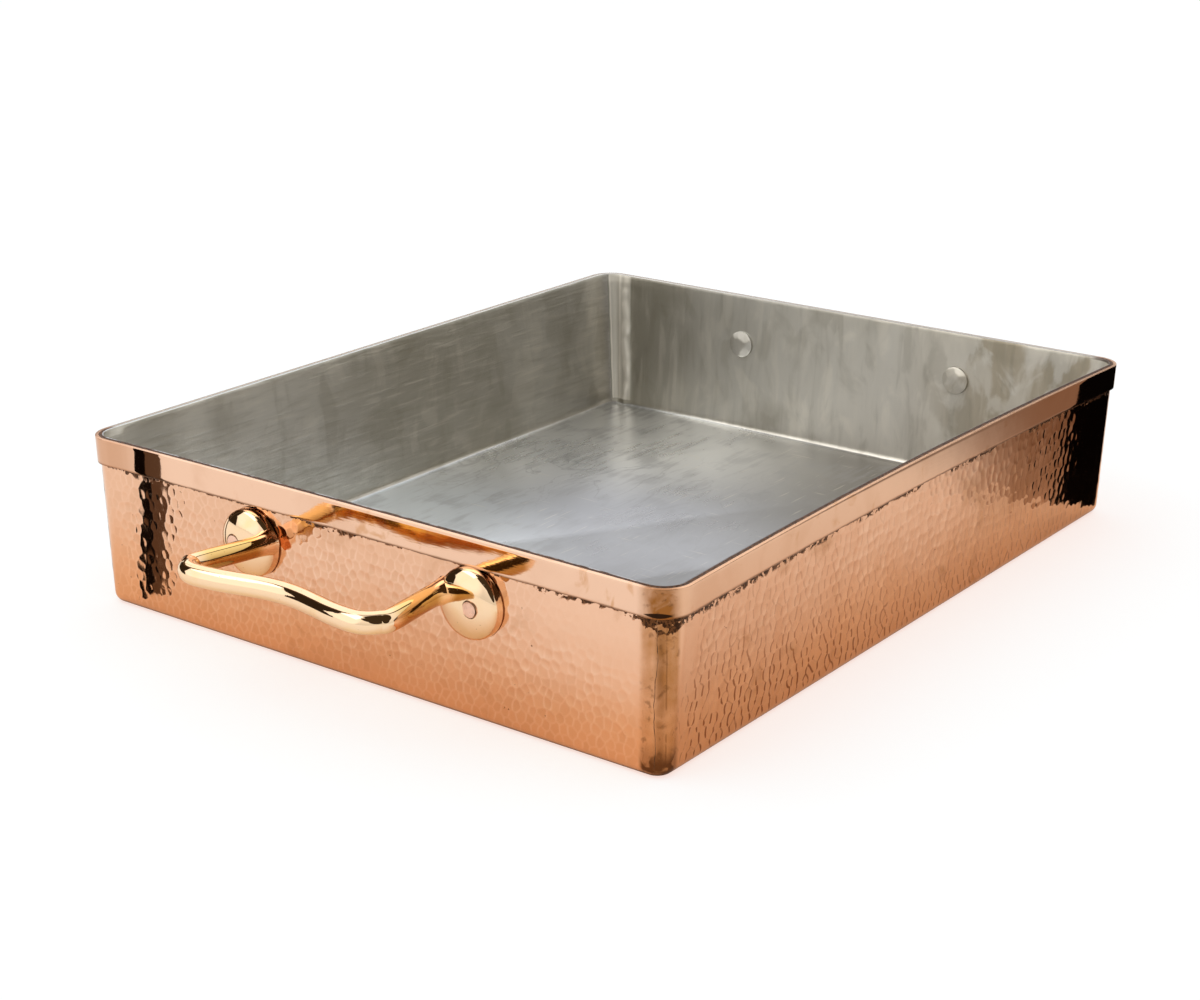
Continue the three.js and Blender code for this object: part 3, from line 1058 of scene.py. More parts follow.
@dataclass
class Body:
    """The copper sheet: a flat bottom, four hammered walls, and the brazed seams where they meet."""

    sizes: PanSizes
    arc_steps: int = 24
    wall_steps: tuple[int, int, int, int] = (320, 600, 660, 260)
    rows: int = 124
    edge_steps: int = 6
    rim_ease: float = 0.10
    behind_band: float = 0.8
    seam_width: float = 0.24
    seam_wander: float = 1.3

    def __post_init__(self) -> None:
        """Walks the outline and strikes the blows."""
        self.outline = Outline(self.sizes, self.arc_steps, self.wall_steps)
        fine = HammerMarks(self.outline.around, self.sizes.height)
        broad = HammerMarks(
            self.outline.around, self.sizes.height, pitch=5.0, rise=5.2, curve=0.0175, ridge_width=0.85)
        self.marks = (fine, fine, broad, fine)

    def make_bottom(self, finish: bpy.types.Material) -> None:
        """The flat bottom, up to where the walls start to turn up.

        Args:
            finish: its material.
        """
        sizes = self.sizes
        outline = Outline(sizes, self.arc_steps, (1, 1, 1, 1))
        stack = RingStack()
        for z in (0.0, sizes.sheet):
            stack.grow(outline.at(i, z, sizes.bottom_edge)[0] for i in range(len(outline.stations)))
        finish_piece(stack.build(), "pan_bottom_sheet", [finish], ["pan_shell"])

    def make_walls(self, finish: bpy.types.Material) -> None:
        """The four walls, each from the middle of one corner to the middle of the next.

        Args:
            finish: their material.
        """
        section = self._section()
        for quarter, name in enumerate(("left", "front", "right", "rear")):
            first = sum(self.wall_steps[:quarter]) + quarter * self.arc_steps + self.arc_steps // 2
            last = first + self.wall_steps[quarter] + self.arc_steps
            stack = RingStack(("ridge", "upright", "tone"))
            for step in range(first, last + 1):
                index = step % len(self.outline.stations)
                stack.grow(*self._strike_section(section, index, self.marks[quarter]))
            finish_piece(stack.build(), f"hammered_wall_{name}", [finish], ["pan_shell"])

    def _section(self) -> list[tuple[float, float]]:
        """A wall's section: bottom edge, face, rim and back.

        Returns:
            Heights and insets.
        """
        sizes = self.sizes
        low, top = sizes.bottom_edge, sizes.band_foot + self.behind_band
        section = []
        for step in range(self.edge_steps + 1):
            angle = step / self.edge_steps * math.pi / 2
            section.append((low * (1 - math.cos(angle)), low * (1 - math.sin(angle))))
        section += [(low + (top - low) * i / self.rows, 0.0) for i in range(1, self.rows + 1)]
        section += [(sizes.height - self.rim_ease, 0.0), (sizes.height, self.rim_ease)]
        section += [(sizes.height, sizes.sheet), (sizes.sheet, sizes.sheet), (sizes.sheet, low)]
        return section

    def _strike_section(
        self, section: Sequence[tuple[float, float]], index: int, marks: HammerMarks
    ) -> tuple[list[Vector], list[tuple[float, float, float]]]:
        """The wall's section at a station, struck by the hammer.

        Args:
            section: heights and insets.
            index: the station.
            marks: the blows.

        Returns:
            The section's points, and each point's ridge, upright ridge and tone.
        """
        u = self.outline.walked[index]
        face = range(1, self.edge_steps + 1 + self.rows)
        places, struck = [], []
        for spot, (z, inset) in enumerate(section):
            point, way = self.outline.at(index, z, inset)
            numbers = (0.0, 0.0, 0.0)
            if spot in face:
                height, near, upright, tone = marks.strike(u, z)
                force = self._force(index, point)
                sway = 0.16 * wobble(3.1, u, z, 40.0) + 0.05 * wobble(7.7, u, z, 13.0)
                sway *= smoothstep(z, 1.0, 10.0) * (1.0 - smoothstep(z, 60.0, 69.0))
                point = point + way * (force * (height - 0.10) + sway - 0.12 * smoothstep(z, 0.0, 2.0))
                numbers = (near * force, near * force * upright, tone * force)
            places.append(point)
            struck.append(numbers)
        return places, struck

    def _force(self, index: int, point: Vector) -> float:
        """How hard the hammer fell: weak at the edges and corners, hard at the long wall's rear end.

        Args:
            index: the station.
            point: the place on the wall.

        Returns:
            The force, about 1.
        """
        station = self.outline.stations[index]
        off_corner = 0.0 if station.on_arc else min(station.share, 1 - station.share) * 350.0
        force = smoothstep(point.z, 1.0, 6.0) * (1.0 - 0.35 * smoothstep(point.z, 54.0, 69.0))
        force *= 0.35 + 0.65 * smoothstep(off_corner, 0.0, 14.0)
        if point.y < -130.0:
            rear_end = smoothstep(point.x, 85.0, 125.0) * (1.0 - 0.8 * smoothstep(point.x, 145.0, 180.0))
            force *= 0.80 + 0.45 * rear_end * smoothstep(point.z, 20.0, 40.0)
        if point.x < -180.0:
            force *= 1.0 - 0.75 * smoothstep(-point.y, 78.0, 118.0) * smoothstep(point.z, 34.0, 52.0)
        return force

    def make_seams(self, finish: bpy.types.Material) -> None:
        """The wandering line of filler up each corner.

        Args:
            finish: its material.
        """
        corners = (("rear_left", 45.0), ("front_left", 45.0), ("front_right", 26.0), ("rear_right", 45.0))
        for quarter, (name, turn) in enumerate(corners):
            self._make_seam(quarter, turn, f"corner_seam_{name}", finish)

    def _make_seam(self, quarter: int, turn: float, node: str, finish: bpy.types.Material) -> None:
        """One seam, swept up a corner.

        Args:
            quarter: which corner.
            turn: how far round the corner it runs, in degrees.
            node: the solid that it stands for.
            finish: its material.
        """
        sizes = self.sizes
        steps, sides, arc_steps = 60, 8, 90
        low, high = sizes.bottom_edge, sizes.height - 0.4
        outline = Outline(sizes, arc_steps, (1, 1, 1, 1))

        def place(step: int, side: int) -> Vector:
            """A point of the seam's flattened section.

            Args:
                step: which step up the corner.
                side: which side of the section.

            Returns:
                The point.
            """
            z = low + (high - low) * step / steps
            across = self.seam_wander * wobble(quarter + 0.4, z, 0.0, 16.0)
            across += 0.5 * wobble(quarter + 5.4, z, 0.0, 4.0)
            middle = turn + math.degrees(across / sizes.rim_corner)
            index = quarter * (arc_steps + 1) + round(min(max(middle, 5.0), 85.0))
            point, way = outline.at(index, z, 0.0)
            side_way = Vector((-way.y, way.x, 0))
            width = self.seam_width * (0.75 + 0.9 * abs(wobble(quarter + 9.0, z, 3.0, 6.0)))
            angle = side / sides * 2 * math.pi
            out = -0.12 + (0.05 if math.sin(angle) > 0 else 0.9) * math.sin(angle)
            return point + side_way * (width / 2 * math.cos(angle)) + way * out

        stack = RingStack()
        for step in range(steps + 1):
            stack.grow(place(step, side) for side in range(sides))
        finish_piece(stack.build(), f"filler_{node}", [finish], [node], 60.0)


@dataclass
class Band:
    """The polished strip round the rim."""

    sizes: PanSizes
    arc_steps: int = 16
    wall_steps: tuple[int, int, int, int] = (150, 190, 230, 120)
    roundness: float = 0.26
    face_rows: int = 9

    def make(self, finish: bpy.types.Material) -> bpy.types.Object:
        """The hoop, a little uneven in its face and its lower edge.

        Args:
            finish: its material.

        Returns:
            The piece.
        """
        sizes = self.sizes
        outline = Outline(sizes, self.arc_steps, self.wall_steps)
        reach = sizes.band_reach
        foot = sizes.band_foot
        soft = self.roundness
        profile = [(foot, -0.05), (foot, reach - soft), (foot + 0.3 * soft, reach - 0.3 * soft)]
        rows = self.face_rows
        low, high = foot + soft, sizes.height - soft
        profile += [(low + (high - low) * i / rows, reach) for i in range(rows + 1)]
        profile += [(sizes.height - 0.3 * soft, reach - 0.3 * soft), (sizes.height, reach - soft)]
        profile += [(sizes.height, -0.10)]

        def place(index: int, z: float, out: float) -> Vector:
            """A point of the hoop's section, with the strip's unevenness.

            Args:
                index: the station.
                z: the height.
                out: how far out of the sheet's outer face.

            Returns:
                The point.
            """
            u = outline.walked[index]
            point, way = outline.at(index, z, 0.0)
            if out > 0:
                out += 0.07 * wobble(2.2, u, z, 42.0) + 0.025 * wobble(4.8, u, z, 12.0) - 0.05
            if z < foot + 1.0:
                point.z += 0.35 * wobble(6.1, u, 0.0, 9.0) + 0.25 * wobble(8.3, u, 0.0, 2.6)
            return point + way * out

        stack = RingStack()
        for z, out in profile:
            stack.grow(place(i, z, out) for i in range(len(outline.stations)))
        return finish_piece(stack.build(hoop=True), "rim_strip", [finish], ["rim_band"])


@dataclass
class Lining:
    """The tin wiped over the inside: walls, corners with their brazed strips, floor and rim."""

    sizes: PanSizes
    arc_steps: int = 26
    wall_steps: tuple[int, int, int, int] = (170, 250, 170, 250)
    row: float = 1.5
    edge_steps: int = 6
    edge_radius: float = 3.2
    lip: float = 1.75
    strip_reach: tuple[float, float] = (-20.0, 2.0)
    strip_rise: float = 0.30
    bead_rise: float = 0.95
    shine: tuple[float, float, float, float] = (1.0, 0.25, 1.0, 1.0)

    def make(self, finish: bpy.types.Material) -> bpy.types.Object:
        """The skin, with its hand-wiped unevenness and the lumpy strip in each corner.

        Args:
            finish: its material.

        Returns:
            The piece.
        """
        sizes = self.sizes
        outline = Outline(sizes, self.arc_steps, self.wall_steps)
        strips = self._by_corner(outline)
        back = sizes.sheet
        face = sizes.sheet + sizes.tin
        floor = sizes.sheet + sizes.gap + sizes.tin
        low = floor + self.edge_radius

        def place(index: int, z: float, inset: float, live: float) -> Vector:
            """A point of the tin's face, with its unevenness.

            Args:
                index: the station.
                z: the height.
                inset: how far in from the sheet's outer face.
                live: how much of the unevenness shows, from 0 to 1.

            Returns:
                The point.
            """
            u = outline.walked[index]
            point, way = outline.at(index, z, inset)
            uneven = 0.10 * wobble(1.3, u, z, 45.0) + 0.07 * wobble(2.9, u, z * 0.35, 9.0)
            if point.x > 190.0:
                uneven += 0.15 * smoothstep(-point.y, -60.0, 60.0) * wobble(5.5, u, z * 0.3, 7.0)
            return point - way * live * (uneven + 0.12 + self._strip(*strips[index], z)[0])

        stack = RingStack(("bead",))
        stations = range(len(outline.stations))
        top = sizes.height
        rim = [(sizes.sheet, back), (top + 0.02, back), (top + 0.02, self.lip), (top + 0.05, self.lip)]
        rim += [(top + 0.10, self.lip + 0.2), (top + 0.10, back), (top + 0.04, face - 0.1)]
        for z, inset in rim:
            stack.grow(outline.at(i, z, inset)[0] for i in stations)
        rows = round((top - low) / self.row)
        for step in range(rows, -1, -1):
            z = low + (top - 0.25 - low) * step / rows
            live = 1.0 - smoothstep(z, top - 5.0, top - 0.5)
            paint = [self._strip(*strips[i], z)[1:] for i in stations]
            stack.grow((place(i, z, face, live) for i in stations), paint)
        for step in range(1, self.edge_steps + 1):
            angle = step / self.edge_steps * math.pi / 2
            z = floor + self.edge_radius * (1 - math.sin(angle))
            inset = face + self.edge_radius * (1 - math.cos(angle))
            stack.grow(place(i, z, inset, math.cos(angle)) for i in stations)
        return finish_piece(stack.build(), "tin_skin", [finish], ["tin_lining"], 50.0)

    def _by_corner(self, outline: Outline) -> list[tuple[float, int]]:
        """Finds the corner nearest to each station.

        Args:
            outline: the outline of the lining's stations.

        Returns:
            How far along the outline the station is from that corner's middle, and which corner.
        """
        middles = [
            outline.walked[sum(self.wall_steps[:quarter]) + quarter * self.arc_steps + self.arc_steps // 2]
            for quarter in range(4)]
        half = outline.around / 2
        return [
            min(
                (((walked - middle + half) % outline.around - half, quarter)
                 for quarter, middle in enumerate(middles)),
                key=lambda pair: abs(pair[0]))
            for walked in outline.walked]

    def _strip(self, along: float, corner: int, z: float) -> tuple[float, float]:
        """The brazed strip from a corner's middle on to the wall before it, with its lumpy bead.

        Args:
            along: distance along the outline from the corner's middle.
            corner: which corner.
            z: the height.

        Returns:
            How far the strip lifts the tin, and how bright it is from 0 to 1.
        """
        if not self.strip_reach[0] < along < self.strip_reach[1]:
            return 0.0, 0.0
        along += 0.35 * wobble(corner + 0.7, z, 0.0, 9.0)
        inside = smoothstep(along, -17.0, -15.0) * (1 - smoothstep(along, -0.3, 0.4))
        line = math.exp(-(((along + 8.0) / 0.8) ** 2))
        bead_at = 12.4 + 1.9 * wobble(corner + 1.7, z, 0.0, 15.0)
        wide = 1.9 + 0.9 * wobble(corner + 4.7, z, 0.0, 9.0)
        lumps = 0.65 + 0.9 * wobble(corner + 2.7, z, 0.0, 5.0)
        bead = math.exp(-(((along + bead_at) / wide) ** 4)) * max(lumps, 0.2)
        edge = math.exp(-(((along + 0.4) / 0.5) ** 2))
        lift = self.strip_rise * (inside + 0.8 * line) + self.bead_rise * bead
        # Paler tin over the strip and its bead, with painted highlights on the ridge line and the edge line
        return lift, min(0.55 * inside + 0.45 * line + 0.6 * bead + 0.4 * edge, 1.0) * self.shine[corner]


# Handles and rivets


@dataclass(frozen=True)
class WallSeat:
    """Where a handle sits on its end wall. Local X points out of the wall, Y along the handle."""

    end: int
    y: float
    z: float
    roll: float
    rim_height: float = PanSizes.height
    lean: float = math.atan2(PanSizes.end_lean, PanSizes.height)
    wall_x: float = 201.4
    bow: float = 0.8

    def matrix(self) -> Matrix:
        """Works out the seat's place.

        Returns:
            The matrix from the handle's own frame to the pan's.
        """
        turn = 0.0 if self.end > 0 else math.pi
        wall = self.wall_x - (self.rim_height - self.z) * math.tan(self.lean)
        if self.end < 0:
            wall -= self.bow
        place = Matrix.Translation((self.end * wall, self.y, self.z))
        facing = Matrix.Rotation(turn, 4, "Z") @ Matrix.Rotation(self.lean, 4, "Y")
        return place @ facing @ Matrix.Rotation(-self.end * self.roll, 4, "X")


@dataclass(frozen=True)
class HandleSizes:
    """The casting: domed feet and the bar between them."""

    foot_spacing: float = 126.8
    foot_radius: float = 15.8
    foot_rim: float = 3.0
    foot_height: float = 8.8
    bar_radius: float = 4.75
    leg_inset: float = 12.3
    leg_rise: float = 3.0
    root_radius: float = 7.4
    root_height: float = 13.0
    shoulder_flare: float = 4.6
    shoulder_rise: float = 5.0
    shoulder: float = 52.0
    grip: float = 45.4
    bend: float = 11.0
    seat_gap: float = 0.1

    def face_at(self, distance: float) -> float:
        """Height of the foot's dome at a distance from its centre."""
        share = min(distance / self.foot_radius, 1.0)
        return self.foot_rim + (self.foot_height - self.foot_rim) * math.sqrt(1 - share * share)


@dataclass
class Handle:
    """One brass handle on its seat."""

    name: str
    node: str
    seat: WallSeat
    sizes: HandleSizes = field(default_factory=HandleSizes)
    sides: int = 36
    seed: float = 1.0

    def path(self) -> list[Vector]:
        """Lays out the bar from foot to foot, through its bends and sag.

        Returns:
            The points of its centreline.
        """
        s = self.sizes
        leg_y = s.foot_spacing / 2 - s.leg_inset
        shoulder_y = leg_y + s.shoulder_flare
        bend_x, bend_y = s.shoulder - s.bend, shoulder_y - s.bend
        half = [(3.0, leg_y), (s.root_height, leg_y)]
        for step in range(4):
            angle = (1 - step / 3) * math.pi / 2
            half.append((bend_x + s.bend * math.cos(angle), bend_y + s.bend * math.sin(angle)))
        for step in range(1, 4):
            share = 1 - step / 4
            rise = (1 - math.cos(share * math.pi)) / 2
            half.append((s.grip + (s.shoulder - s.grip) * rise, share * bend_y))
        points = half + [(s.grip, 0.0)] + [(x, -y) for x, y in reversed(half)]
        climb = (s.shoulder_rise - s.leg_rise) / s.shoulder
        return [Vector((x, y, s.leg_rise + climb * x)) for x, y in points]

    @staticmethod
    def through(points: Sequence[Vector], steps: int) -> list[Vector]:
        """A smooth line through points.

        Args:
            points: the points.
            steps: samples from each point to the next.

        Returns:
            The samples.
        """
        ends = [2 * points[0] - points[1], *points, 2 * points[-1] - points[-2]]
        line = []
        for before, start, stop, after in zip(ends, ends[1:], ends[2:], ends[3:]):
            for step in range(steps):
                t = step / steps
                line.append(0.5 * (
                    2 * start + (stop - before) * t
                    + (2 * before - 5 * start + 4 * stop - after) * t * t
                    + (3 * start - before - 3 * stop + after) * t ** 3))
        line.append(points[-1].copy())
        return line

    def make(self, finish: bpy.types.Material) -> bpy.types.Object:
        """The whole casting.

        Args:
            finish: its material.

        Returns:
            The piece.
        """
        s = self.sizes
        line = self.through(self.path(), 9)
        walked = [0.0]
        for first, second in zip(line, line[1:]):
            walked.append(walked[-1] + (second - first).length)

        def place(step: int, side: int) -> Vector:
            """A point of the bar's round section.

            Args:
                step: which step along the bar.
                side: which side of the section.

            Returns:
                The point.
            """
            before, after = line[max(step - 1, 0)], line[min(step + 1, len(line) - 1)]
            way = (after - before).normalized()
            out = way.cross(Vector((0, 0, 1))).normalized()
            over = out.cross(way)
            from_end = min(walked[step], walked[-1] - walked[step]) + 3.0
            flare = max(1 - from_end / s.root_height, 0.0)
            radius = s.bar_radius + (s.root_radius - s.bar_radius) * flare * flare
            radius += 0.10 * wobble(self.seed, walked[step], 0.0, 22.0)
            angle = side / self.sides * 2 * math.pi
            uneven = 0.05 * wobble(self.seed + 2, walked[step], 6 * math.sin(angle), 14.0)
            spot = out * math.cos(angle) + over * math.sin(angle)
            return line[step] + spot * (radius + uneven)

        stack = RingStack()
        for step in range(len(line)):
            stack.grow(place(step, side) for side in range(self.sides))
        bm = stack.build()
        for hand in (1, -1):
            self._add_foot(bm, Vector((0, hand * s.foot_spacing / 2, 0)), self.seed + hand)
        bmesh.ops.translate(bm, vec=(s.seat_gap, 0, 0), verts=bm.verts)
        bmesh.ops.transform(bm, matrix=self.seat.matrix(), verts=bm.verts)
        return finish_piece(bm, self.name, [finish], [self.node], 40.0)

    def _add_foot(self, bm: bmesh.types.BMesh, centre: Vector, seed: float) -> None:
        """A spun foot: flat back, eased rim, dome.

        Args:
            bm: the mesh to add it to.
            centre: the middle of its back.
            seed: the seed of its slight unevenness.
        """
        s = self.sizes
        ease = 0.5
        profile = [(0.0, 0.0), (s.foot_radius - ease, 0.0), (s.foot_radius, ease)]
        profile += [(s.foot_radius, s.foot_rim * 0.6), (s.foot_radius - 0.15, s.foot_rim)]
        rings = 14
        for ring in range(1, rings + 1):
            radius = s.foot_radius * math.cos(ring / rings * math.pi / 2)
            profile.append((max(radius - 0.15, 0.0), s.face_at(radius)))
        fresh = spin(bm, profile, 72)
        for vert in fresh:
            if vert.co.x > 1.0:
                vert.co.x += 0.12 * wobble(seed, vert.co.y, vert.co.z, 11.0)
        bmesh.ops.translate(bm, vec=centre, verts=fresh)


@dataclass
class Rivet:
    """A copper rivet: broad hammered head inside the pan, end peened flush in the foot."""

    name: str
    node: str
    seat: WallSeat
    y: float
    rise: float
    foot: HandleSizes = field(default_factory=HandleSizes)
    outset: float = 4.4
    shank: float = 4.0
    head: float = 7.5
    head_height: float = 2.6
    head_rim: float = 0.9
    wall: float = 2.55
    seed: int = 3

    def make(
        self, copper: bpy.types.Material, tin: bpy.types.Material, grime: bpy.types.Material
    ) -> bpy.types.Object:
        """The rivet, tinned on its head.

        Args:
            copper: the material of its shank and peened end.
            tin: the material of its head.
            grime: the material of the dark crease round its end.

        Returns:
            The piece.
        """
        seat = -self.wall
        end = self.foot.face_at(self.outset) + 0.28
        profile = [(0.0, seat - self.head_height)]
        rings = 9
        for ring in range(1, rings + 1):
            angle = ring / rings * math.pi / 2
            dome = (self.head_height - self.head_rim) * math.cos(angle)
            profile.append((self.head * math.sin(angle), seat - self.head_rim - dome))
        profile += [(self.head, seat - 0.2), (self.head - 0.3, seat), (self.shank, seat)]
        profile += [(self.shank, end - 0.35), (self.shank - 0.25, end - 0.08)]
        profile += [(self.shank - 0.6, end), (self.shank / 2, end + 0.10), (0.0, end + 0.14)]
        bm = bmesh.new()
        spin(bm, profile, 48)
        self._hammer_head(bm, seat)
        for face in bm.faces:
            middle = face.calc_center_median()
            crease_at = middle.x > end - 0.5 and math.hypot(middle.y, middle.z) > self.shank - 0.55
            face.material_index = 1 if middle.x < seat + 0.1 else 2 * crease_at
        for vert in bm.verts:
            if vert.co.x > end - 0.6:
                way = Vector((0, vert.co.y, vert.co.z))
                vert.co += way * 0.05 * wobble(self.seed, way.y, way.z, 2.5)
        bmesh.ops.transform(
            bm, matrix=self.seat.matrix() @ Matrix.Translation((0, self.y, self.rise)), verts=bm.verts)
        return finish_piece(bm, self.name, [copper, tin, grime], [self.node], 30.0)

    def _hammer_head(self, bm: bmesh.types.BMesh, seat: float) -> None:
        """Flattens the head with a few blows.

        Args:
            bm: the rivet along X.
            seat: where the head sits.
        """
        draw = random.Random(self.seed)
        for blow in range(7):
            angle = blow * 2 * math.pi / 6 + draw.uniform(-0.3, 0.3)
            lean = 0.05 if blow == 6 else draw.uniform(0.17, 0.31)
            aside = math.sin(lean)
            way = Vector((-math.cos(lean), aside * math.cos(angle), aside * math.sin(angle)))
            verts = [v for v in bm.verts if v.co.x < seat - self.head_rim + 0.05]
            far = max(v.co.dot(way) for v in verts)
            cut = far - draw.uniform(0.35, 0.60)
            for vert in verts:
                over = vert.co.dot(way) - cut
                if over > 0:
                    vert.co -= way * over


# Studio


@dataclass(frozen=True)
class Card:
    """A dark strip beside the pan that only its reflections show.

    It stands on its base line from start to stop. Its top leans over by lean along Y. Where it
    clears, it fades out from the first to the second place along Y.
    """

    name: str
    start: tuple[float, float]
    stop: tuple[float, float]
    shade: Colour
    lean: float = 0.0
    clears: tuple[float, float] | None = None
    high: float = 0.14


@dataclass
class Studio:
    """Pale floor, soft light, dark cards and the camera."""

    floor_half: float = 6.0
    floor_drop: float = 0.0002
    half_length: float = 0.200
    half_width: float = 0.162
    shadow_paint: Colour = (0.10, 0.34, 0.42)
    open_light: float = 0.97
    lamp_place: Colour = (-0.9, 0.7, 1.7)
    lamp_size: tuple[float, float] = (1.6, 1.0)
    lamp_power: float = 6.0
    eye: Colour = (-0.84216, -0.61437, 0.39417)
    yaw: float = 0.6453
    pitch: float = -0.338
    roll: float = -0.0014
    lens: float = 66.49

    def make_floor(self) -> None:
        """A white floor that keeps the pan's shadow."""
        bm = bmesh.new()
        bmesh.ops.create_grid(bm, x_segments=2, y_segments=2, size=self.floor_half)
        bmesh.ops.translate(bm, vec=(0, 0, -self.floor_drop), verts=bm.verts)
        material, recipe = new_material("floor_white")
        x, y, _ = recipe.axes()
        # Seen only in reflections and bounces: painted copper-coloured light and shade beside the pan, and
        # a painted shade zone off the bowed side towards the rear
        beside = (x.size() - self.half_length).larger(y.size() - self.half_width)
        painted_shade_zone = (x + 0.35 * y).step(0.06, 0.24) * y.step(-0.19, -0.26)
        white = recipe.layers(
            (0.90, 0.89, 0.87),
            (beside.step(0.125, 0.0) * 0.50, (0.80, 0.50, 0.25)),
            (painted_shade_zone * 0.85, (0.16, 0.13, 0.11)),
        )
        paint = recipe.node("ShaderNodeBsdfDiffuse", {}, white)
        # What the eye sees is white where the floor is open, and a pale warm shadow by the pan
        shadow = recipe.node("ShaderNodeBsdfDiffuse", {}, self.shadow_paint)
        rest = tuple(1.0 - self.open_light * part for part in self.shadow_paint)
        glow = recipe.node("ShaderNodeEmission", {}, rest, 1.0)
        seen = recipe.node("ShaderNodeAddShader", {}, shadow.outputs[0], glow.outputs[0])
        eye = recipe.value(recipe.node("ShaderNodeLightPath", {}), "Is Camera Ray")
        mixed = recipe.node("ShaderNodeMixShader", {}, eye, paint.outputs[0], seen.outputs[0])
        recipe.node("ShaderNodeOutputMaterial", {}, mixed.outputs[0])
        add_mesh(bm, "studio_floor", [material])

    def make_world(self) -> None:
        """A white room for the eye, and soft boxes with dark gaps for the metal."""
        world = bpy.data.worlds.new("studio_room")
        bpy.context.scene.world = world
        world.use_nodes = True
        recipe = Recipe(world.node_tree)
        way = recipe.node("ShaderNodeTexCoord", {}).outputs["Generated"]
        _, _, up = recipe.split(way)
        sky = recipe.mix(up.step(-0.05, 0.75), (0.80, 0.80, 0.79), (1.08, 1.07, 1.05))
        for *angles, shade in self.gaps():
            bearing, rise, inner, outer = map(math.radians, angles)
            east = math.cos(rise) * math.cos(bearing)
            north = math.cos(rise) * math.sin(bearing)
            dot = recipe.node(
                "ShaderNodeVectorMath", {"operation": "DOT_PRODUCT"}, way, (east, north, math.sin(rise)))
            near = recipe.value(dot, "Value").step(math.cos(outer), math.cos(inner))
            sky = recipe.mix(near, sky, shade)
        rays = recipe.node("ShaderNodeLightPath", {})
        plain = (recipe.value(rays, "Is Camera Ray") + recipe.value(rays, "Is Diffuse Ray")).step(0.0, 1.0)
        colour = recipe.mix(plain, sky, (1.0, 1.0, 1.0))
        light = recipe.node("ShaderNodeBackground", {}, colour, 1.0)
        recipe.node("ShaderNodeOutputWorld", {}, light.outputs[0])

    @staticmethod
    def gaps() -> list[tuple[float, float, float, float, Colour]]:
        """The brightest box and the dark gaps: bearing, rise, inner and outer reach in degrees, shade."""
        return [
            (150, 28, 24, 40, (1.30, 1.28, 1.26)),
            (92, 19, 23.5, 24.5, (0.03, 0.02, 0.012)),
            (108, 0, 18.5, 19.5, (0.03, 0.02, 0.012)),
            (46, 46, 35, 36, (0.10, 0.06, 0.03)),
            (46, 46, 28.5, 29.5, (1.35, 1.33, 1.30)),
            (-112, 58, 35, 37, (0.05, 0.035, 0.02)),
            (-118, 30, 23, 25, (0.05, 0.035, 0.02)),
        ]

    def make_cards(self) -> None:
        """The dark cards: seen in the metal, by nothing else."""
        brown, black = (0.11, 0.070, 0.045), (0.006, 0.004, 0.003)
        cards = [
            Card("card_left_brown", (-0.2200, 0.1420), (-0.2160, 0.1481), brown, -0.014),
            Card("card_left_black", (-0.2160, 0.1481), (-0.2130, 0.1519), black, -0.014),
            Card("card_right", (0.2020, -0.1655), (0.1900, -0.1855), (0.002, 0.0015, 0.0015)),
            Card(
                "card_right_brown", (0.1900, -0.1855), (0.1715, -0.2420), (0.26, 0.14, 0.075),
                clears=(-0.195, -0.248)),
        ]
        for card in cards:
            bm = bmesh.new()
            low = [bm.verts.new((*spot, 0.0)) for spot in (card.start, card.stop)]
            made = bmesh.ops.extrude_edge_only(bm, edges=[bm.edges.new(low)])["geom"]
            rising = [item for item in made if isinstance(item, bmesh.types.BMVert)]
            bmesh.ops.translate(bm, vec=(0, card.lean, card.high), verts=rising)
            material, recipe = new_material(card.name)
            paint = recipe.node("ShaderNodeEmission", {}, card.shade, 1.0)
            if card.clears:
                clear = recipe.axes()[1].step(*card.clears) * 0.7 + 0.3
                nothing = recipe.node("ShaderNodeBsdfTransparent", {})
                paint = recipe.node("ShaderNodeMixShader", {}, clear, paint.outputs[0], nothing.outputs[0])
            recipe.node("ShaderNodeOutputMaterial", {}, paint.outputs[0])
            strip = add_mesh(bm, card.name, [material])
            strip.visible_camera = False
            strip.visible_diffuse = False
            strip.visible_shadow = False

    def make_lamps(self) -> None:
        """One large soft lamp over the left shoulder of the camera."""
        data = bpy.data.lights.new("soft_box", "AREA")
        data.shape = "RECTANGLE"
        data.size, data.size_y = self.lamp_size
        data.energy = self.lamp_power
        lamp = add_object("soft_box", data)
        lamp.location = self.lamp_place
        lamp.rotation_euler = (-lamp.location).to_track_quat("-Z", "Y").to_euler()

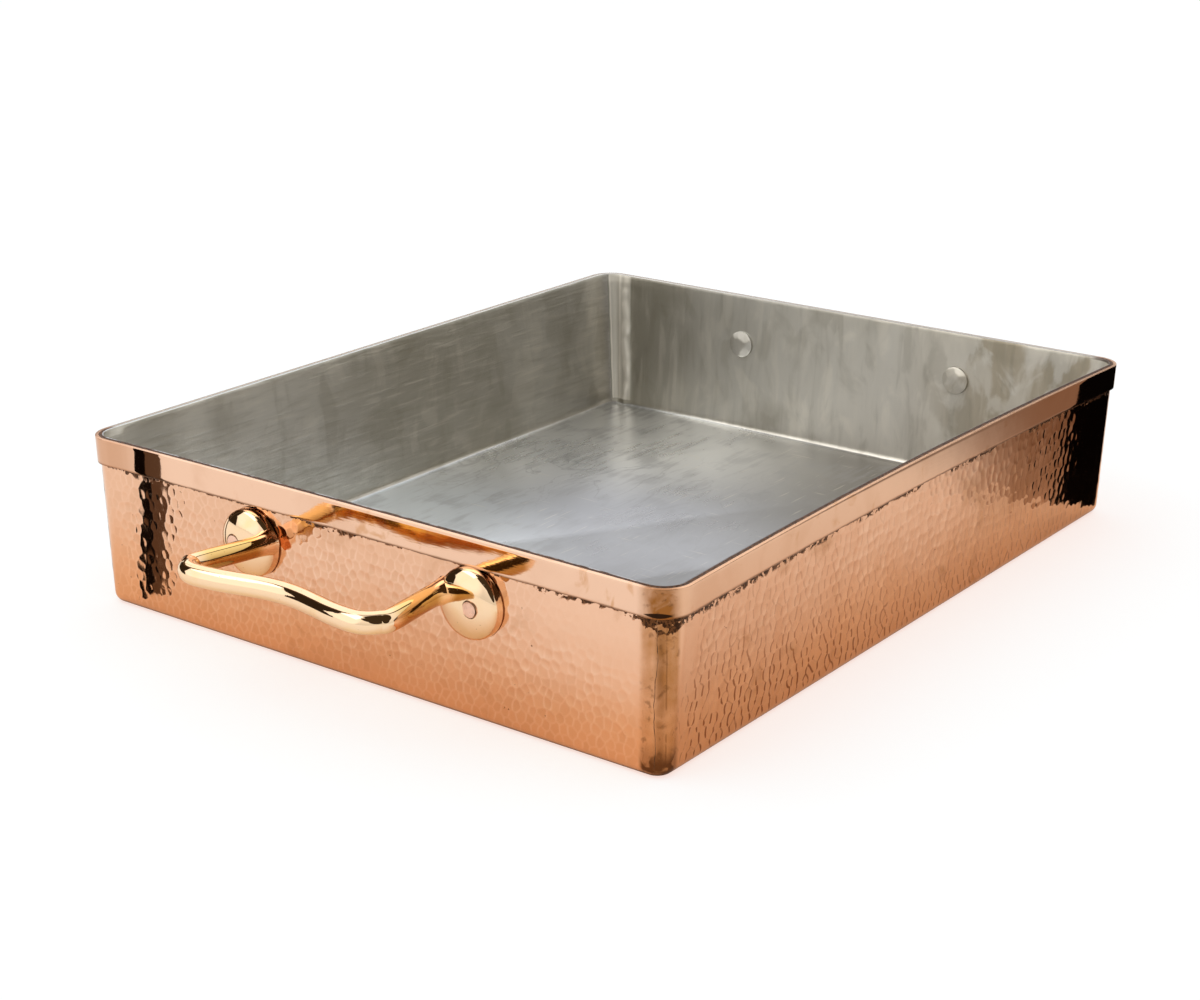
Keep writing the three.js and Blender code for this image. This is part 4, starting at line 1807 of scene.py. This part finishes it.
    def make_camera(self) -> None:
        """The camera at the photograph's place."""
        data = bpy.data.cameras.new("camera")
        data.lens = self.lens
        data.sensor_width = 36.0
        data.sensor_fit = "HORIZONTAL"
        data.clip_start = 0.01
        camera = add_object("camera", data)
        forward = Vector((
            math.cos(self.yaw) * math.cos(self.pitch),
            math.sin(self.yaw) * math.cos(self.pitch),
            math.sin(self.pitch)))
        right = Vector((math.sin(self.yaw), -math.cos(self.yaw), 0))
        up = right.cross(forward)
        turned_right = math.cos(self.roll) * right + math.sin(self.roll) * up
        turned_up = math.cos(self.roll) * up - math.sin(self.roll) * right
        axes = Matrix((turned_right, turned_up, -forward)).transposed().to_4x4()
        camera.matrix_world = Matrix.Translation(self.eye) @ axes
        bpy.context.scene.camera = camera

    def make(self) -> None:
        """Everything that isn't the pan."""
        self.make_floor()
        self.make_world()
        self.make_cards()
        self.make_lamps()
        self.make_camera()
        bpy.context.scene.view_settings.view_transform = "Standard"


# The whole pan


def main() -> None:
    """Builds the pan and its studio."""
    logging.basicConfig(level=logging.INFO, format="%(message)s")
    sheet = HammeredCopper("hammered_copper", (0.84, 0.505, 0.335), 0.085).build()
    strip = PolishedCopper("polished_copper", (0.88, 0.575, 0.41), 0.05).build()
    tin = WipedTin("wiped_tin", (0.60, 0.575, 0.515), 0.31).build()
    filler = BrazeFiller("braze_filler", (0.34, 0.17, 0.08), 0.45).build()
    brass = CastBrass("cast_brass", (0.955, 0.69, 0.45), 0.03).build()
    peened = PeenedCopper("rivet_copper", (0.90, 0.58, 0.44), 0.28).build()

    sizes = PanSizes()
    body = Body(sizes)
    body.make_bottom(sheet)
    body.make_walls(sheet)
    body.make_seams(filler)
    Band(sizes).make(strip)
    Lining(sizes).make(tin)

    front = WallSeat(end=-1, y=-3.2, z=53.2, roll=math.radians(0.85))
    rear = WallSeat(end=1, y=-3.3, z=53.2, roll=math.radians(0.95))
    Handle("brass_handle_front", "front_handle", front, seed=1.0).make(brass)
    Handle("brass_handle_rear", "rear_handle", rear, seed=4.0).make(brass)
    rivets = (
        ("front_left", front, -67.7, 1.0),
        ("front_right", front, 67.7, 0.2),
        ("rear_left", rear, 69.5, 1.6),
        ("rear_right", rear, -69.5, 1.8),
    )
    for seed, (name, seat, y, rise) in enumerate(rivets, 3):
        rivet = Rivet(f"peened_rivet_{name}", f"rivet_{name}", seat, y, rise, seed=seed)
        rivet.make(peened, tin, filler)

    Studio().make()
    bpy.context.view_layer.update()


if __name__ == "__main__":
    main()
